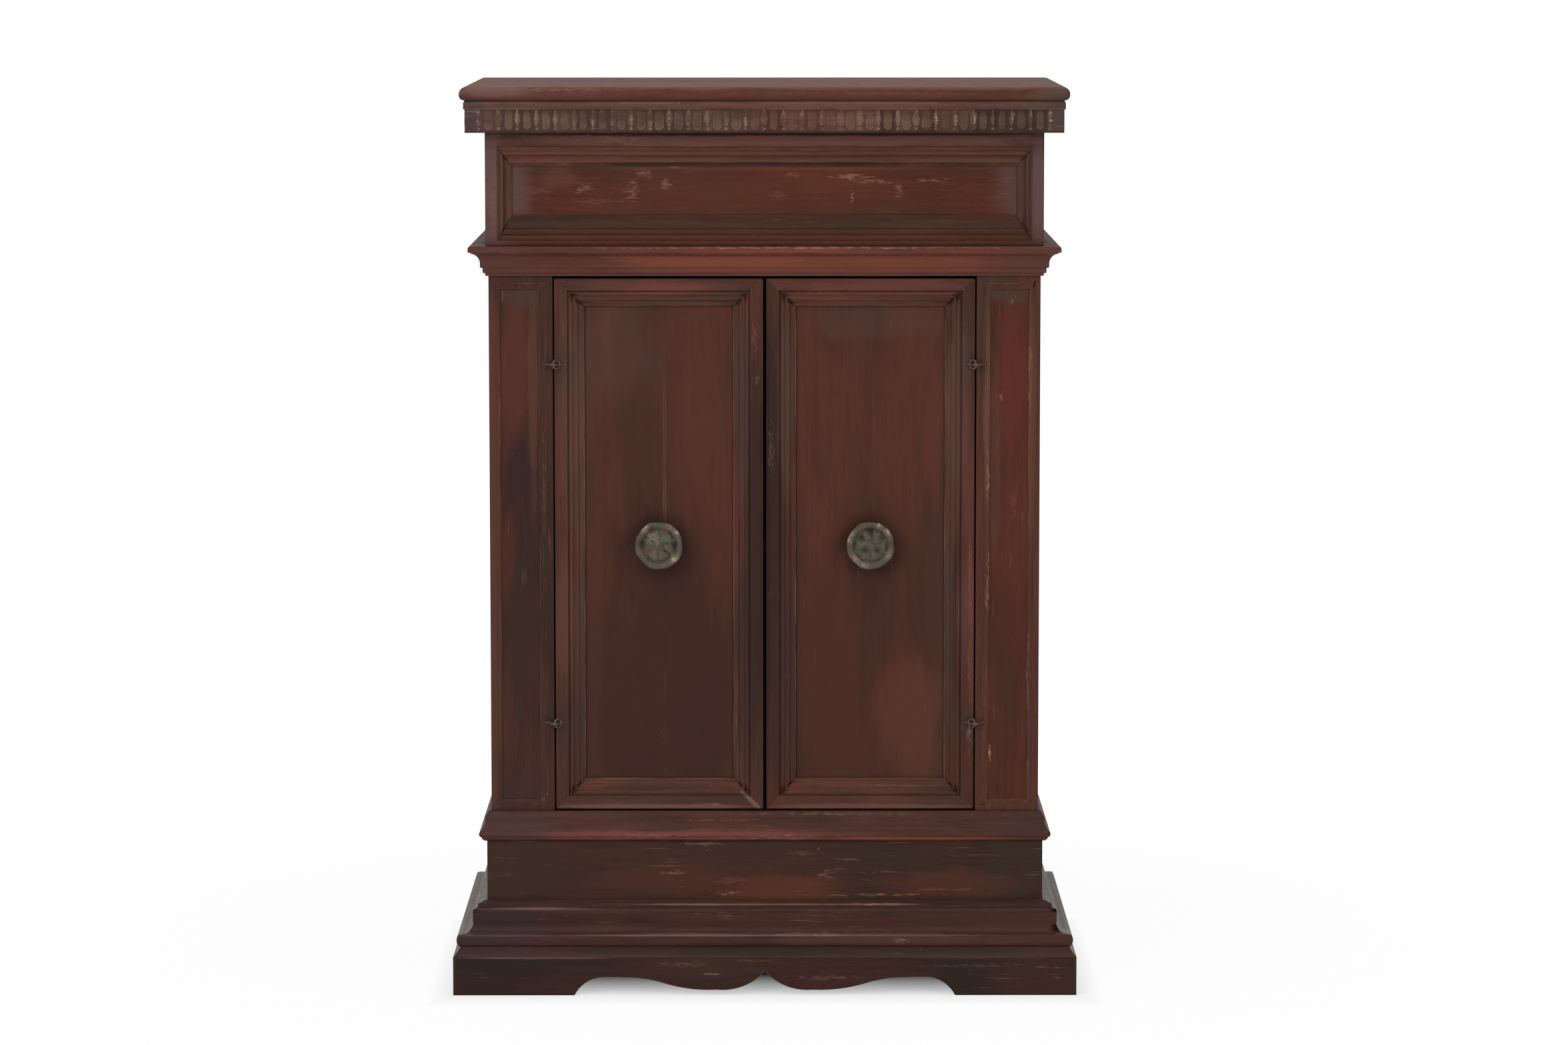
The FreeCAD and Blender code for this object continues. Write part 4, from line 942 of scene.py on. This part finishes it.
rosette("left_knob", -knob_out, 1.0, [
    (-17, 21, 4.5, 1.0), (14, 23, 3.5, 0.9), (21, 16, 3.5, 0.9), (17, -15, 4.5, 0.7), (-6, 9, 7, 0.3),
    (9, 6, 4, 0.2), (-3, -11, 6, 0.2),
], [(-19, 3, 5, 0.45), (17, 2, 4.5, 0.45), (2, 0, 4, 0.3), (-9, 18, 5, 0.4), (-22, -14, 6, 0.2)])
rosette("right_knob", knob_out, 7.0, [
    (-22, 14, 3.5, 1.0), (-24.5, 7, 3.5, 0.9), (10, 24, 3, 0.8), (20, 16, 3.5, 0.9), (-16, -16, 6, 0.4),
    (-8, -22, 5, 0.4), (19, -11, 4.5, 0.3),
], [(0, 16, 5, 0.5), (-10, 9, 5, 0.5), (-6, -5, 4, 0.45), (7, -4, 4, 0.4), (12, 8, 5, 0.35), (21, 2, 5, 0.3)])
finish_solid("left_knob_nut", iron)
finish_solid("right_knob_nut", iron)


# The room: a white floor that runs out into white, a broad soft lamp high in front on the left, a
# weaker one on the right and one overhead, as for a plain studio picture.

bpy.ops.mesh.primitive_circle_add(vertices=96, radius=6.0, fill_type="NGON", location=(0, 0, 0))
floor = bpy.context.object
floor.name = "studio_floor"
paper = new_finish("Matt white paper")
place = add(paper, "TexCoord", out="Object")
far = add(paper, "VectorMath", [place], out="Value", operation="LENGTH")
# The shadow lies close round the base and fades twice as fast to the sides as to the front.
side = add(paper, "VectorMath", [place], operation="ABSOLUTE")
side = add(paper, "VectorMath", [side, (0.344, 0.2, 0.0)], operation="SUBTRACT")
side = add(paper, "VectorMath", [side, (2.0, 1.0, 1.0)], operation="MULTIPLY")
side = add(paper, "SeparateXYZ", [side], out="X")
side = add(paper, "Math", [side, side.node.outputs["Y"]], operation="MAXIMUM")
near = add(paper, "MapRange", [side, -0.12, 0.06, 0.0, 0.96])
away = add(paper, "MapRange", [far, 0.55, 1.3, near], interpolation_type="SMOOTHSTEP")
seen = add(paper, "LightPath", out="Is Camera Ray")
for ray in ("Is Glossy Ray", "Is Transmission Ray"):
    seen = add(paper, "Math", [seen, add(paper, "LightPath", out=ray)], operation="MAXIMUM")
white = add(paper, "Math", [seen, away], operation="MULTIPLY")
fibre = add(paper, "TexNoise", {"Vector": place, "Scale": 600.0})
bump = add(paper, "Bump", {"Strength": 0.05, "Distance": 0.1 * mm, "Height": fibre})
matt = add(paper, "BsdfDiffuse", {"Color": linear("#f6f6f6"), "Normal": bump})
lift = add(paper, "Emission", {"Color": (1, 1, 1, 1), "Strength": 1.0})
lit = add(paper, "MixShader", [white, matt, lift])
add(paper, "OutputMaterial", {"Surface": lit})
floor.data.materials.append(paper)

# The room is white behind the cupboard and at its sides, and dimmer on the camera's side.
room = bpy.data.worlds.new("white_room")
bpy.context.scene.world = room
room.use_nodes = True
room.node_tree.nodes.clear()
way = add(room, "TexCoord", out="Generated")
way = add(room, "SeparateXYZ", [way], out="Y")
wall = add(room, "MapRange", [way, -0.5, 0.5, 0.1, 0.6])
camera_ray, glossy, diffuse, through = (
    add(room, "LightPath", out="Is %s Ray" % kind) for kind in ("Camera", "Glossy", "Diffuse", "Transmission"))
mirrored = add(room, "Math", [glossy, wall], operation="MULTIPLY")
soft = add(room, "Math", [diffuse, 0.42, mirrored], operation="MULTIPLY_ADD")
seen = add(room, "Math", [camera_ray, through], operation="MAXIMUM")
strength = add(room, "Math", [seen, soft], operation="ADD")
air = add(room, "Background", {"Color": (1, 1, 1, 1), "Strength": strength})
add(room, "OutputWorld", {"Surface": air})

lamps = (
    ("lamp_high_left", (-1.9, -3.4, 2.3), 2.4, 66.0),
    ("lamp_right", (2.3, -3.3, 1.6), 2.2, 34.0),
    ("lamp_over", (0.0, -1.2, 3.2), 1.8, 16.0),
)
for name, spot, size, power in lamps:
    bpy.ops.object.light_add(type="AREA", location=spot)
    lamp = bpy.context.object
    lamp.name = name
    lamp.data.size = size
    lamp.data.energy = power
    lamp.rotation_euler = (Vector((0, 0, 0.5)) - Vector(spot)).to_track_quat("-Z", "Y").to_euler()

bpy.context.scene.view_settings.view_transform = "Standard"

# The camera stands 5.7 m in front of the base at 1.16 m height and looks a little down.
bpy.ops.object.camera_add(location=(0.0055, -5.911, 1.162))
camera = bpy.context.object
camera.data.sensor_width = 36
camera.data.lens = 120.7
camera.rotation_euler = (math.radians(90 - 6.359), 0, math.radians(-0.157))
bpy.context.scene.camera = camera
